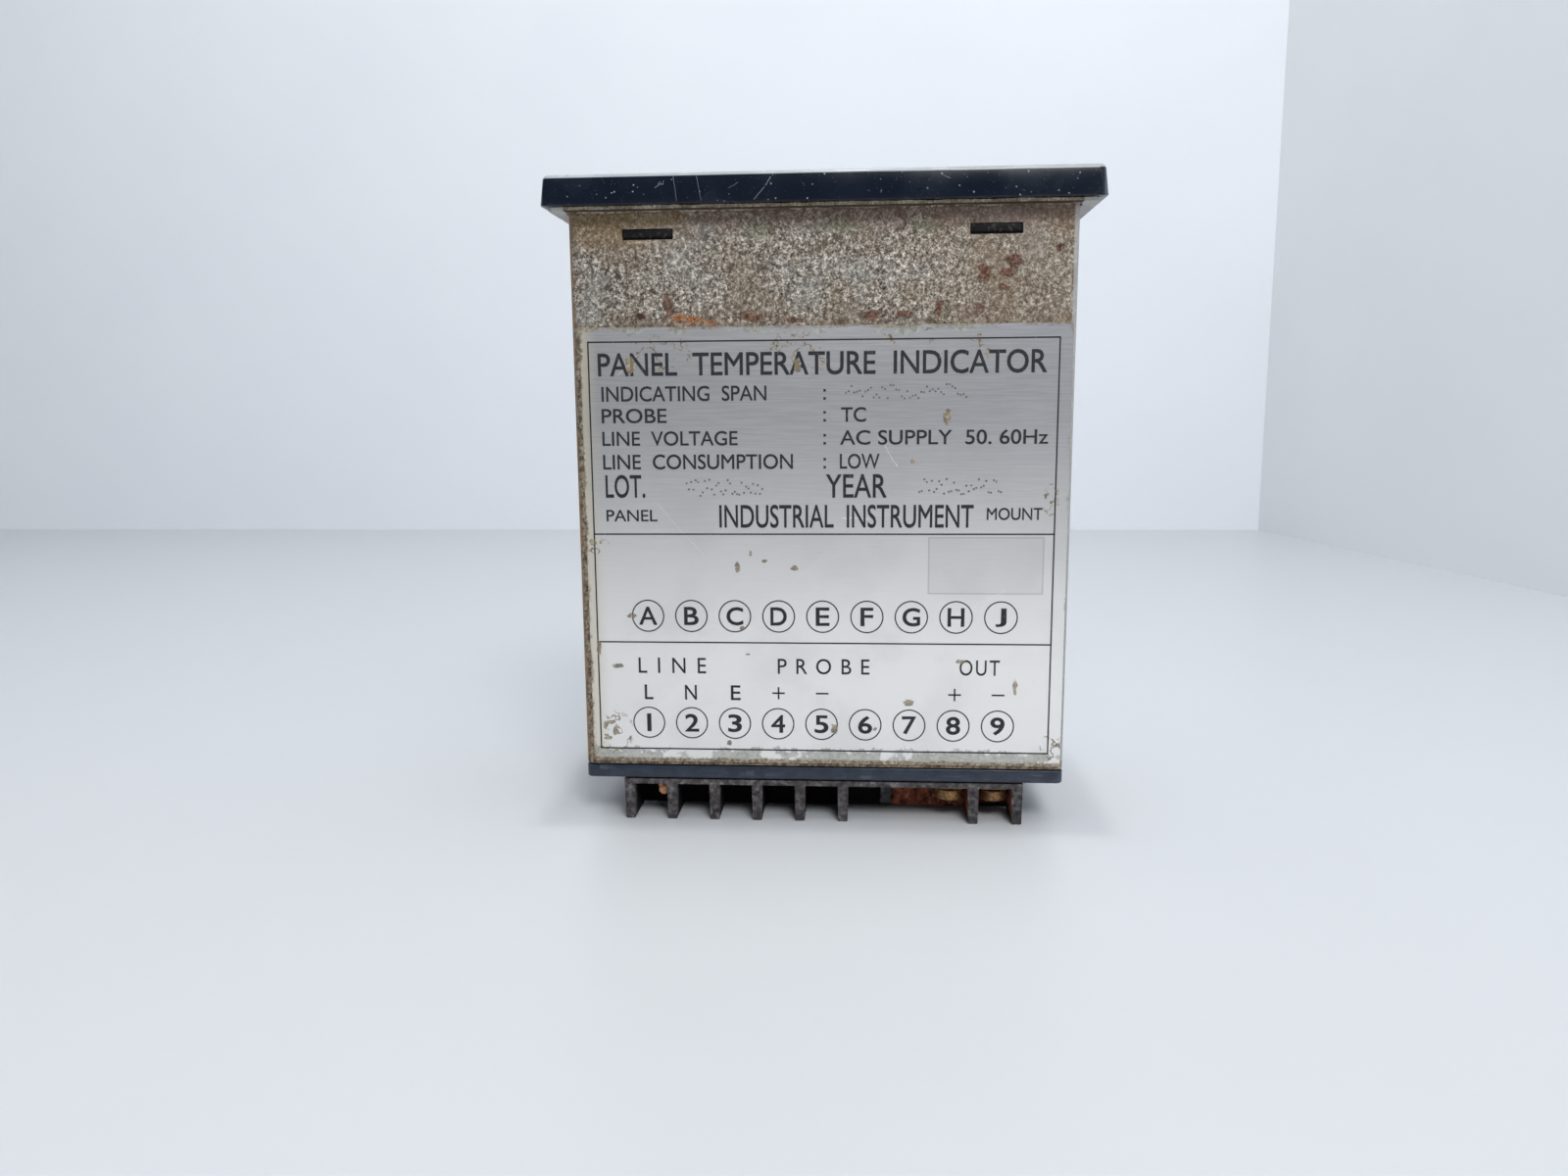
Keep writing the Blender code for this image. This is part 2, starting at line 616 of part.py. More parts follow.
def make_led_display():
    """Block of four seven-segment digits, with a shallow groove between the digits."""
    low = DISPLAY_BOARD_BOTTOM + BOARD_THICKNESS + GAP
    block = boxes(((-LED_WIDTH / 2, -LED_DEPTH / 2, low), (LED_WIDTH / 2, LED_DEPTH / 2, LED_TOP)))
    digits = 4
    digit_width = LED_WIDTH / digits
    grooves = boxes(*(
        ((x - 0.15, -LED_DEPTH, LED_TOP - 0.3), (x + 0.15, LED_DEPTH, LED_TOP + 1.0))
        for x in (digit_width * (index - digits / 2) for index in range(1, digits))
    ))
    put("led_display", carved("led_display", block, [("DIFFERENCE", grooves)]), "led_grey")


def make_transformer():
    """Laminated core with two windows, and the winding around its middle limb."""
    window_half = CORE_SIZE.z / 2 - CORE_YOKE
    limb_half = CORE_LIMB / 2
    outer_half = CORE_SIZE.x / 2 - CORE_YOKE
    windows = boxes(*(
        (CORE_CENTER + Vector((min(a, b), -CORE_SIZE.y, -window_half)),
         CORE_CENTER + Vector((max(a, b), CORE_SIZE.y, window_half)))
        for a, b in ((limb_half, outer_half), (-limb_half, -outer_half))
    ))
    core = carved("transformer_core", centered_box(CORE_CENTER, CORE_SIZE), [("DIFFERENCE", windows)])
    put("transformer_core", core, "core_steel")
    hole = Vector((CORE_LIMB + 2 * GAP, CORE_SIZE.y + 2 * GAP, WINDING_SIZE.z + 4.0))
    winding = rounded_slab(WINDING_SIZE.x, WINDING_SIZE.y, 1.2, -WINDING_SIZE.z / 2, WINDING_SIZE.z / 2)
    winding.transform(Matrix.Translation(CORE_CENTER))
    mesh = carved("transformer_winding", winding, [("DIFFERENCE", centered_box(CORE_CENTER, hole))])
    put("transformer_winding", mesh, "winding_tape")


def make_capacitor():
    """Round electrolytic can standing on the power board."""
    radius, length = CAPACITOR_RADIUS, CAPACITOR_LENGTH
    profile = [
        (0.0, 0.0), (radius, 0.0), (radius, 1.4), (radius - 0.5, 2.0), (radius, 2.6), (radius, length - 0.5),
        (radius - 0.6, length), (0.0, length),
    ]
    shape = turned(profile, 20)
    base = CAPACITOR_CENTER + Vector((0.0, BOARD_INNER_FACE - GAP, 0.0))
    shape.transform(Matrix.Translation(base) @ Matrix.Rotation(TURN / 4, 4, "X"))
    put("smoothing_capacitor", carved("smoothing_capacitor", shape), "capacitor_sleeve", smooth=True)


def make_converter_chip():
    """Long chip on the main board, with the notch that marks its first pin."""
    center = CHIP_CENTER + Vector((0.0, -BOARD_INNER_FACE + GAP + CHIP_SIZE.y / 2, 0.0))
    body = centered_box(center, CHIP_SIZE)
    notch = centered_box(
        center + Vector((CHIP_SIZE.x / 2, CHIP_SIZE.y / 2, 0.0)), Vector((3.0, 1.6, 3.0)),
    )
    put("converter_chip", carved("converter_chip", body, [("DIFFERENCE", notch)]), "chip_black")


def main():
    """Build the whole instrument."""
    clear_scene()
    make_front_bezel()
    make_front_window()
    make_display_mask()
    make_panel_gasket()
    make_case_sleeve()
    make_rating_plate()
    make_rear_cover()
    near_labels = [str(number) for number in range(1, TERMINALS + 1)]
    make_terminal_row("near", near_labels, [str(n) for n in NEAR_SCREWED], 0.0, broken=True)
    make_terminal_row("far", list(FAR_LETTERS), list(FAR_LETTERS), TURN / 2, broken=False)
    make_boards()
    make_led_display()
    make_transformer()
    make_capacitor()
    make_converter_chip()


main()
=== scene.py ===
"""Looks of the panel thermometer: aged steel case, rating plate, glossy bezel and broken terminal row.

Shapes are worked out in millimetres and placed in metres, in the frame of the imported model: +Z runs from
the rear terminals up to the bezel, +X along the long side, and the rating plate faces -Y.
"""

import math
import random

import bmesh
import bpy
from mathutils import Matrix, Vector


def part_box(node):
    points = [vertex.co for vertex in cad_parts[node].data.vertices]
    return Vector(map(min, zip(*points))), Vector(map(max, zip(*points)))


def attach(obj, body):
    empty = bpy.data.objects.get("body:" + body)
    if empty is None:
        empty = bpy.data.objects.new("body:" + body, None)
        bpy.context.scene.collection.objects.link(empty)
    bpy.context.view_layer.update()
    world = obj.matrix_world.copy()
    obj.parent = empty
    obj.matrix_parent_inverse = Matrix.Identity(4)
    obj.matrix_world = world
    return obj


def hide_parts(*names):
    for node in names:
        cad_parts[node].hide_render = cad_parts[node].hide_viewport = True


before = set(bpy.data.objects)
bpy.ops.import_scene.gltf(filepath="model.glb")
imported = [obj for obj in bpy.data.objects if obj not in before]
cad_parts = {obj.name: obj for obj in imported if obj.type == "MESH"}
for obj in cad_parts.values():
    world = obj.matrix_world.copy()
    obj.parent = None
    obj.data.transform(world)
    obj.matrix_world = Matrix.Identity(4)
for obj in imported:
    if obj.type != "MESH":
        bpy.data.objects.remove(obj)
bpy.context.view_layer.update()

bl_info = {
    "name": "Panel thermometer",
    "version": (1, 0, 0),
    "blender": (4, 5, 0),
    "location": "View3D > Sidebar > Thermometer",
    "description": "Builds the visible pieces and finishes of an aged panel thermometer",
    "category": "Object",
}

MM = 0.001
ROOT = "root"
X, Y, Z = 0, 1, 2


class Extent:
    """Where a CAD node lies at rest, in millimetres."""

    def __init__(self, node):
        low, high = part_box(node)
        self.low = low / MM
        self.high = high / MM
        self.size = self.high - self.low
        self.center = (self.low + self.high) / 2


BEZEL = Extent("front_bezel")
WINDOW = Extent("front_window")
GASKET = Extent("panel_gasket")
CASE = Extent("case_sleeve")
PLATE = Extent("rating_plate")
COVER = Extent("rear_cover")
LED = Extent("led_display")
FAR_LABELS = "ABCDEFGHJ"
NEAR_LABELS = "123456789"
PRINT_RISE = 0.02
FRAME_GAP = 0.3
HOOK_PLACES = (-30.0, 30.0)
HOOK_HALF, HOOK_BOTTOM, HOOK_TOP = 4.3, 105.47, 107.02
SLOT_HALF, SLOT_BOTTOM, SLOT_TOP = 4.45, 105.325, 107.175
INNER_GAP = 2.2


def tint(red, green, blue):
    """Linear colour from display values of 0 to 255."""

    def linear(value):
        value /= 255.0
        return value / 12.92 if value <= 0.04045 else ((value + 0.055) / 1.055) ** 2.4

    return (linear(red), linear(green), linear(blue), 1.0)


# Settings that a user would change.

def length(name, description, millimetres):
    """Setting for a length."""
    return bpy.props.FloatProperty(
        name=name, description=description, default=millimetres * MM, unit="LENGTH", subtype="DISTANCE")


def shade(name, description, *display):
    """Setting for a colour, given by display values of 0 to 255."""
    return bpy.props.FloatVectorProperty(
        name=name, description=description, default=tint(*display), size=4, subtype="COLOR")


def wording(name, description, words):
    """Setting for printed words."""
    return bpy.props.StringProperty(name=name, description=description, default=words)


class BezelSettings(bpy.types.PropertyGroup):
    """Sizes and colour of the front bezel."""

    rim: length("Rim radius", "Rounding of the bezel's front edge", 0.8)
    draft: length("Draft", "How far each side leans in towards the front", 0.5)
    color: shade("Plastic", "Colour of the moulded bezel", 14, 22, 36)


class CaseSettings(bpy.types.PropertyGroup):
    """Sizes and colour of the steel sleeve."""

    wall: length("Wall", "Thickness of the sheet steel", 0.8)
    corner: length("Corner", "Outer bend radius of the sleeve", 1.6)
    color: shade("Zinc", "Mean colour of the weathered zinc", 132, 126, 118)


class PlateSettings(bpy.types.PropertyGroup):
    """Wording and colours of the rating plate."""

    title: wording("Title", "Large wording on the plate", "PANEL  TEMPERATURE  INDICATOR")
    maker: wording("Lower line", "Wording above the terminal table", "INDUSTRIAL  INSTRUMENT")
    ink: shade("Ink", "Colour of the print", 27, 28, 34)
    metal: shade("Aluminium", "Colour of the bare plate", 240, 239, 238)


class TerminalSettings(bpy.types.PropertyGroup):
    """Sizes and colours of the screw terminals."""

    pitch: length("Pitch", "Distance from one terminal to the next", 8.0)
    barrier: length("Barrier", "Thickness of a barrier between two terminals", 2.0)
    plastic: shade("Plastic", "Colour of the aged moulding", 62, 58, 58)
    brass: shade("Brass", "Colour of the tarnished screws", 166, 126, 82)


class StageSettings(bpy.types.PropertyGroup):
    """Camera, floor and walls."""

    lens: bpy.props.FloatProperty(
        name="Lens", description="Focal length in millimetres", default=25.91)
    floor: shade("Floor", "Colour of the floor", 196, 200, 205)
    wall: shade("Wall", "Colour of the backdrop", 232, 237, 244)
    side: shade("Side wall", "Colour of the wall at the right", 246, 249, 252)


# Modelling by operators.

def start():
    """Object mode with nothing selected."""
    if bpy.context.mode != "OBJECT":
        bpy.ops.object.mode_set(mode="OBJECT")
    bpy.ops.object.select_all(action="DESELECT")


def take(piece, *others):
    """Selects these pieces and makes the first one active."""
    start()
    for each in (piece, *others):
        each.select_set(True)
    bpy.context.view_layer.objects.active = piece


def apply_place():
    """Puts the place, turn and scale of what is selected into its mesh."""
    bpy.ops.object.transform_apply(location=True, rotation=True, scale=True)


class Edit:
    """Edit mode on one piece. A pick selects what passes a test and clears the pick before it."""

    def __init__(self, piece):
        self.piece = piece

    def __enter__(self):
        take(self.piece)
        bpy.ops.object.mode_set(mode="EDIT")
        bpy.ops.mesh.select_all(action="DESELECT")
        return self

    def __exit__(self, *_):
        bpy.ops.object.mode_set(mode="OBJECT")

    def pick(self, kind, test):
        """Selects the corners, edges or faces that pass the test."""
        bpy.ops.mesh.select_all(action="DESELECT")
        bpy.ops.mesh.select_mode(type=kind)
        shape = bmesh.from_edit_mesh(self.piece.data)
        parts = {"VERT": shape.verts, "EDGE": shape.edges, "FACE": shape.faces}[kind]
        found = [part for part in parts if test(part)]
        if not found:
            raise RuntimeError(f"{self.piece.name}: nothing passes the test")
        for part in found:
            part.select_set(True)
        shape.select_flush_mode()
        bmesh.update_edit_mesh(self.piece.data)

    def pick_all(self):
        """Selects the whole piece."""
        bpy.ops.mesh.select_all(action="SELECT")

    def bevel(self, test, width, segments):
        """Rounds the edges that pass the test, by millimetres."""
        self.pick("EDGE", test)
        bpy.ops.mesh.bevel(offset=width * MM, segments=segments, affect="EDGES")

    def taper(self, axis, sign, scale, center):
        """Scales the face that looks along an axis, about a point in millimetres."""
        self.pick("FACE", facing(axis, sign))
        bpy.ops.transform.resize(value=scale, center_override=Vector(center) * MM)


def parallel(axis):
    """Test for edges that run along an axis."""

    def test(edge):
        run = edge.verts[1].co - edge.verts[0].co
        return run.length > 0 and abs(run[axis]) > 0.999 * run.length

    return test


def facing(axis, sign):
    """Test for flat faces that look along an axis."""
    return lambda face: face.normal[axis] * sign > 0.999


def rim_of(axis, sign):
    """Test for the edges round the faces that look along an axis."""
    looks = facing(axis, sign)
    return lambda edge: sum(looks(face) for face in edge.link_faces) == 1


def near(axis, value):
    """Test for corners, edges or faces at one place along an axis, in millimetres."""

    def test(part):
        corners = getattr(part, "verts", (part,))
        return all(abs(corner.co[axis] / MM - value) < 0.001 for corner in corners)

    return test


def add_slab(name, low, high, corner=0, segments=6, rims=(), axis=Z):
    """Block between two corners in millimetres, rounded along one axis and then at its rims."""
    start()
    low, high = Vector(low), Vector(high)
    bpy.ops.mesh.primitive_cube_add(size=1, location=(low + high) / 2 * MM, scale=(high - low) * MM)
    piece = bpy.context.object
    piece.name = name
    apply_place()
    with Edit(piece) as edit:
        if corner:
            edit.bevel(parallel(axis), corner, segments)
        for sign, width, steps in rims:
            edit.bevel(rim_of(axis, sign), width, steps)
    return piece


def centered_slab(name, width, depth, bottom, top, **shape):
    """Block about the Z axis."""
    return add_slab(name, (-width / 2, -depth / 2, bottom), (width / 2, depth / 2, top), **shape)


def add_rod(name, center, radius, bottom, top, sides=32):
    """Upright cylinder, in millimetres."""
    start()
    bpy.ops.mesh.primitive_cylinder_add(
        vertices=sides, radius=radius * MM, depth=(top - bottom) * MM,
        location=Vector((center[0], center[1], (bottom + top) / 2)) * MM)
    piece = bpy.context.object
    piece.name = name
    apply_place()
    return piece


def combine(piece, tool, how):
    """Applies a boolean of one piece with another, which is used up."""
    take(piece)
    modifier = piece.modifiers.new("combine", "BOOLEAN")
    modifier.operation = how
    modifier.solver = "EXACT"
    modifier.object = tool
    bpy.ops.object.modifier_apply(modifier=modifier.name)
    bpy.data.objects.remove(tool)
    return piece


def cut(piece, *tools):
    """Takes the tools out of a piece."""
    for tool in tools:
        combine(piece, tool, "DIFFERENCE")
    return piece


def weld(piece, *tools):
    """Makes the tools one solid with a piece."""
    for tool in tools:
        combine(piece, tool, "UNION")
    return piece


def join(pieces):
    """One object of several that keeps each one's shell."""
    take(*pieces)
    if len(pieces) > 1:
        bpy.ops.object.join()
    return pieces[0]


def copied(piece, name, shift=(0, 0, 0), half_turn=False):
    """Copy of a piece with its own mesh, turned round the Z axis and then moved by millimetres."""
    copy = piece.copy()
    copy.data = piece.data.copy()
    copy.name = name
    bpy.context.scene.collection.objects.link(copy)
    take(copy)
    if half_turn:
        copy.rotation_euler = (0, 0, math.pi)
    copy.location = Vector(shift) * MM
    apply_place()
    return copy


def repeated(piece, shifts):
    """A piece set out at each shift, as one object."""
    copies = [copied(piece, piece.name + "_copy", shift) for shift in shifts]
    bpy.data.objects.remove(piece)
    return join(copies)


def soften(piece, width, segments=2, angle=35):
    """Rounds every sharp edge."""
    take(piece)
    modifier = piece.modifiers.new("soften", "BEVEL")
    modifier.width = width * MM
    modifier.segments = segments
    modifier.limit_method = "ANGLE"
    modifier.angle_limit = math.radians(angle)
    modifier.use_clamp_overlap = True
    bpy.ops.object.modifier_apply(modifier=modifier.name)
    return piece


def roughen(piece, amount, seed, cuts=0):
    """Breaks up a piece's surface with small random moves."""
    with Edit(piece) as edit:
        edit.pick_all()
        if cuts:
            bpy.ops.mesh.subdivide(number_cuts=cuts)
        bpy.ops.transform.vertex_random(offset=amount * MM, uniform=1, seed=seed)
    return piece


def clean(piece):
    """Merges doubles and points the faces outwards."""
    with Edit(piece) as edit:
        edit.pick_all()
        bpy.ops.mesh.remove_doubles(threshold=0.002 * MM)
        bpy.ops.mesh.normals_make_consistent(inside=False)
    return piece


def finished(piece, finish, body=ROOT, slot=None, stands_for=(), smooth=30):
    """Last step for each piece: shading, finish, and the body that it rides on."""
    take(piece)
    apply_place()
    if smooth:
        bpy.ops.object.shade_smooth_by_angle(angle=math.radians(smooth))
    piece.data.name = piece.name
    piece.data.materials.clear()
    piece.data.materials.append(finish)
    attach(piece, body)
    if stands_for:
        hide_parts(*stands_for)
    start()
    return piece


# Finishes by nodes.

def arithmetic(operation, reflected=False):
    """Method of a Signal that adds a Math node."""

    def method(self, *others):
        values = (*others, self) if reflected else (self, *others)
        return self.finish.math(operation, *values)

    return method


class Signal:
    """A number that varies over a surface. Arithmetic on it adds Math nodes."""

    def __init__(self, finish, socket):
        self.finish = finish
        self.socket = socket

    __add__ = __radd__ = arithmetic("ADD")
    __sub__ = arithmetic("SUBTRACT")
    __rsub__ = arithmetic("SUBTRACT", reflected=True)
    __mul__ = __rmul__ = arithmetic("MULTIPLY")
    __abs__ = arithmetic("ABSOLUTE")
    least = arithmetic("MINIMUM")
    most = arithmetic("MAXIMUM")

    def step(self, low, high):
        """Smooth step from 0 at low to 1 at high."""
        values = {"Value": self, "From Min": low, "From Max": high}
        return Signal(self.finish, self.finish.node(
            "ShaderNodeMapRange", {"interpolation_type": "SMOOTHSTEP"}, values).outputs[0])


class Finish:
    """A node material being built. Places are in millimetres."""

    def __init__(self, name):
        self.color = None
        self.material = bpy.data.materials.new(name)
        self.material.use_nodes = True
        self.tree = self.material.node_tree
        self.tree.nodes.clear()
        spot = self.node("ShaderNodeTexCoord").outputs["Object"]
        self.place = self.vector("SCALE", spot, Scale=1 / MM)
        parts = self.node("ShaderNodeSeparateXYZ", {}, {"Vector": self.place}).outputs
        self.x, self.y, self.z = (Signal(self, part) for part in parts)

    def node(self, kind, settings=None, values=None):
        """Adds a node: its settings first, then the values or links of its sockets."""
        node = self.tree.nodes.new(kind)
        for name, value in (settings or {}).items():
            if name == "stops":
                self._set_stops(node.color_ramp, value)
            else:
                setattr(node, name, value)
        for name, value in (values or {}).items():
            self._feed(node.inputs[name], value)
        return node

    def _set_stops(self, ramp, stops):
        while len(ramp.elements) < len(stops):
            ramp.elements.new(1)
        for element, (position, *display) in zip(ramp.elements, stops):
            element.position = position
            element.color = tint(*display)

    def _feed(self, socket, value):
        if isinstance(value, Signal):
            value = value.socket
        if isinstance(value, bpy.types.NodeSocket):
            self.tree.links.new(value, socket)
        else:
            socket.default_value = value

    def math(self, operation, *values):
        """Math node on numbers or signals."""
        node = self.node("ShaderNodeMath", {"operation": operation}, dict(enumerate(values)))
        return Signal(self, node.outputs[0])

    def vector(self, operation, *values, **named):
        """Vector Math node. Gives its vector."""
        node = self.node("ShaderNodeVectorMath", {"operation": operation}, dict(enumerate(values)) | named)
        return node.outputs["Vector"]

    def mix(self, amount, first, second):
        """Mixes two colours, by a number or a signal. A tuple holds display values."""
        first, second = (tint(*each) if isinstance(each, tuple) else each for each in (first, second))
        values = {"Factor": amount, "A": first, "B": second}
        return self.node("ShaderNodeMix", {"data_type": "RGBA"}, values).outputs[2]

    def coat(self, amount, *over):
        """Lays one more colour, or the socket of another mix, over the finish's colour."""
        self.color = self.mix(amount, self.color, over if len(over) == 3 else over[0])

    def stretched(self, scale):
        """The place, scaled along each axis."""
        return self.vector("MULTIPLY", self.place, scale)

    def shifted(self, amount, scale, seed=0):
        """The place, pushed about by noise so that what is drawn there has ragged outlines."""
        moved = self.vector("ADD", self.place, (seed, -seed, 0.5 * seed))
        cloud = self.node("ShaderNodeTexNoise", {}, {"Vector": moved, "Scale": scale, "Detail": 3})
        push = self.vector("SUBTRACT", cloud.outputs["Color"], (0.5, 0.5, 0.5))
        return self.vector("MULTIPLY_ADD", push, (amount, amount, amount), self.place)

    def noise(self, scale, detail=2, roughness=0.5, place=None, seed=0):
        """Cloudy noise with features of about 1 / scale millimetres, in the middle of 0 to 1."""
        spot = place or self.place
        if seed:
            spot = self.vector("ADD", spot, (seed, 2 * seed, -seed))
        values = {"Vector": spot, "Scale": scale, "Detail": detail, "Roughness": roughness}
        return Signal(self, self.node("ShaderNodeTexNoise", {}, values).outputs[0])

    def cells(self, scale, feature="F1", place=None):
        """Distance to the nearest cell point or edge."""
        values = {"Vector": place or self.place, "Scale": scale}
        node = self.node("ShaderNodeTexVoronoi", {"feature": feature}, values)
        return Signal(self, node.outputs["Distance"])

    def colors(self, amount, stops):
        """Colour Ramp. A stop is its position and its display values."""
        return self.node("ShaderNodeValToRGB", {"stops": stops}, {0: amount}).outputs[0]

    def ovals(self, places, place=None):
        """Distance from the nearest of some ovals on the XZ plane: 0 at its middle and 1 at its edge."""
        nearest = None
        for x, z, across, high in places:
            scale, offset = (1 / across, 0, 1 / high), (-x / across, 0, -z / high)
            spot = self.vector("MULTIPLY_ADD", place or self.place, scale, offset)
            node = self.node("ShaderNodeVectorMath", {"operation": "LENGTH"}, {0: spot})
            away = Signal(self, node.outputs["Value"])
            nearest = away if nearest is None else nearest.least(away)
        return nearest

    def lines(self, runs, place=None):
        """1 on thin straight lines on the XZ plane. A run is its two ends and its half width."""
        parts = self.node("ShaderNodeSeparateXYZ", {}, {"Vector": place or self.place}).outputs
        x, z = Signal(self, parts[X]), Signal(self, parts[Z])
        total = None
        for (x0, z0), (x1, z1), half in runs:
            length = math.hypot(x1 - x0, z1 - z0)
            dx, dz = (x1 - x0) / length, (z1 - z0) / length
            along = (x - x0) * dx + (z - z0) * dz
            aside = abs((z - z0) * dx - (x - x0) * dz)
            one = aside.step(half, 0.4 * half) * abs(along - length / 2).step(length / 2, 0.92 * length / 2)
            total = one if total is None else total.most(one)
        return total

    def surface(self, roughness, relief=None, **more):
        """Ends the material in one Principled shader. A relief is a height and its depth in millimetres."""
        values = {"Base Color": self.color, "Roughness": roughness}
        values |= {name.replace("_", " "): value for name, value in more.items()}
        if relief:
            height, depth = relief
            values["Normal"] = self.node(
                "ShaderNodeBump", {}, {"Height": height, "Distance": depth * MM, "Strength": 1}).outputs[0]
        shader = self.node("ShaderNodeBsdfPrincipled", {}, values)
        self.node("ShaderNodeOutputMaterial", {}, {"Surface": shader.outputs[0]})
        return self.material


def settings(name):
    """One of the scene's setting groups."""
    return getattr(bpy.context.scene, "thermometer_" + name)


def gloss_black():
    """Glossy blue-black moulding with dust, fine scratches, a dulled back, and painted highlights on its
    front rim and ends.
    """
    finish = Finish("gloss_black_moulding")
    front = finish.y.step(-22, -23)
    scratches = finish.lines([
        ((-24.75, 115.3), (-24.2, 111), 0.05), ((-20.85, 115.3), (-20, 111), 0.05),
        ((-8.2, 114.9), (-9, 113.4), 0.09), ((-9.2, 113.2), (-11.1, 111.1), 0.08),
        ((-27.9, 113.3), (-26.9, 114.1), 0.08), ((-26.9, 114.1), (-26.6, 113.8), 0.07),
        ((-27.4, 114), (-26.9, 114.4), 0.06), ((-26.4, 114.5), (-26.5, 113.8), 0.06),
        ((20.3, 114.6), (21.9, 113.9), 0.05), ((-15.5, 113), (-13.6, 114), 0.035),
    ], finish.shifted(0.25, 1.5)) * front
    dust = finish.cells(0.8, place=finish.shifted(0.4, 2, 9)).step(0.14, 0.06)
    dust = dust * finish.noise(0.35).step(0.42, 0.55)
    fine_dust = finish.cells(2).step(0.17, 0.08) * finish.noise(0.5, seed=4).step(0.42, 0.6)
    haze = finish.noise(0.12, 3).step(0.35, 0.75)
    finish.color = finish.mix(haze * 0.4, settings("bezel").color, (26, 36, 50))
    finish.coat(fine_dust * 0.45, 120, 128, 134)
    finish.coat(dust * 0.8, 170, 178, 184)
    finish.coat(scratches * 0.6, 150, 158, 164)
    hidden = finish.z.step(CASE.high.z, CASE.high.z - 0.2)
    rubbed = finish.noise(1.6, 4).step(0.55, 0.68)
    finish.coat(hidden * 0.95, finish.mix(rubbed * 0.7, (5, 4, 6), (74, 68, 64)))
    # Painted highlight: the rounded ends of the bezel are lightened to grey, standing in for light caught
    # by those corners.
    ends = finish.x.step(47, 47.4).most(finish.x.step(-47.3, -47.6))
    finish.coat(ends * (0.45 + haze * 0.2), 112, 120, 128)
    # Painted highlight: a thin pale line along the rounded front rim, where the edge catches the light.
    rim = finish.z.step(BEZEL.high.z - 0.7, BEZEL.high.z - 0.6)
    finish.coat(rim * (0.75 + haze * 0.2), 176, 184, 190)
    relief = finish.noise(0.25, 3) + dust * 0.3 - scratches * 0.4
    return finish.surface(
        0.2 + haze * 0.14 + dust * 0.4 + hidden * 0.4, (relief, 0.03),
        Coat_Weight=0.1, Coat_Roughness=0.1, Specular_IOR_Level=0.3)


def smoked_pane():
    """Smoked red window."""
    finish = Finish("smoked_window")
    smear = finish.noise(0.08, 4).step(0.4, 0.75)
    specks = finish.cells(0.7).step(0.07, 0.03)
    finish.color = finish.mix(specks, (120, 22, 20), (190, 180, 170))
    return finish.surface(
        0.06 + smear * 0.12 + specks * 0.4, Alpha=0.62 + smear * 0.05, IOR=1.49, Coat_Weight=0.3)


def aged_foam():
    """Crumbling beige foam of the panel gasket."""
    finish = Finish("aged_foam")
    grain = finish.noise(2.5, 5, 0.7)
    dirt = finish.noise(0.4, 4, 0.6, seed=3).step(0.4, 0.62)
    finish.color = finish.colors(grain, [
        (0.3, 96, 80, 62), (0.48, 176, 162, 138), (0.62, 218, 210, 192), (0.75, 236, 230, 216)])
    finish.coat(dirt * 0.5, 92, 68, 48)
    ends = abs(finish.x).step(43.9, 44.3)
    # Painted shade: the foam's downward face along the front and back is darkened to brown.
    painted_underside_shade = finish.z.step(GASKET.low.z + 0.12, GASKET.low.z + 0.04) * abs(finish.y).step(20.9, 21.2)
    finish.coat(painted_underside_shade * (1 - ends) * 0.9, 54, 44, 38)
    finish.coat(ends * 0.75, 206, 208, 208)
    return finish.surface(0.92, (grain, 0.25), Specular_IOR_Level=0.2)


FRONT_RUST = [
    (-26.8, 95, 0.8, 1.4), (-26.2, 93.2, 0.9, 1.3), (-24.8, 92, 1.6, 0.8), (-22.2, 91.6, 1.8, 0.8),
    (-19.6, 91.2, 1.4, 0.5), (-31.7, 92.3, 1, 0.8), (33.2, 100.9, 1.7, 1.4), (31.9, 98.9, 1.5, 0.8),
    (28.2, 98.8, 1.2, 1.3), (27.6, 99.9, 0.8, 0.7), (40.8, 103, 0.8, 0.7), (31.4, 96.5, 1, 0.8),
    (9, 92, 1.6, 1.1), (14.5, 92.2, 1.8, 0.7), (20.4, 93, 0.7, 1.6), (27.2, 93.5, 0.7, 0.6),
    (-4, 91.4, 2.4, 0.6), (-12, 92, 2.2, 0.8), (43.4, 98, 0.5, 2.5),
]
FRONT_DARK = [
    (-35.1, 99.2, 1, 0.5), (-28.9, 96.4, 0.5, 0.4), (-31.7, 92.3, 0.8, 0.6),
    (21.9, 94.1, 0.6, 0.5), (-19.5, 105.7, 0.6, 0.4), (-37.4, 97.4, 0.7, 0.5), (40.6, 103.2, 0.4, 0.5),
]


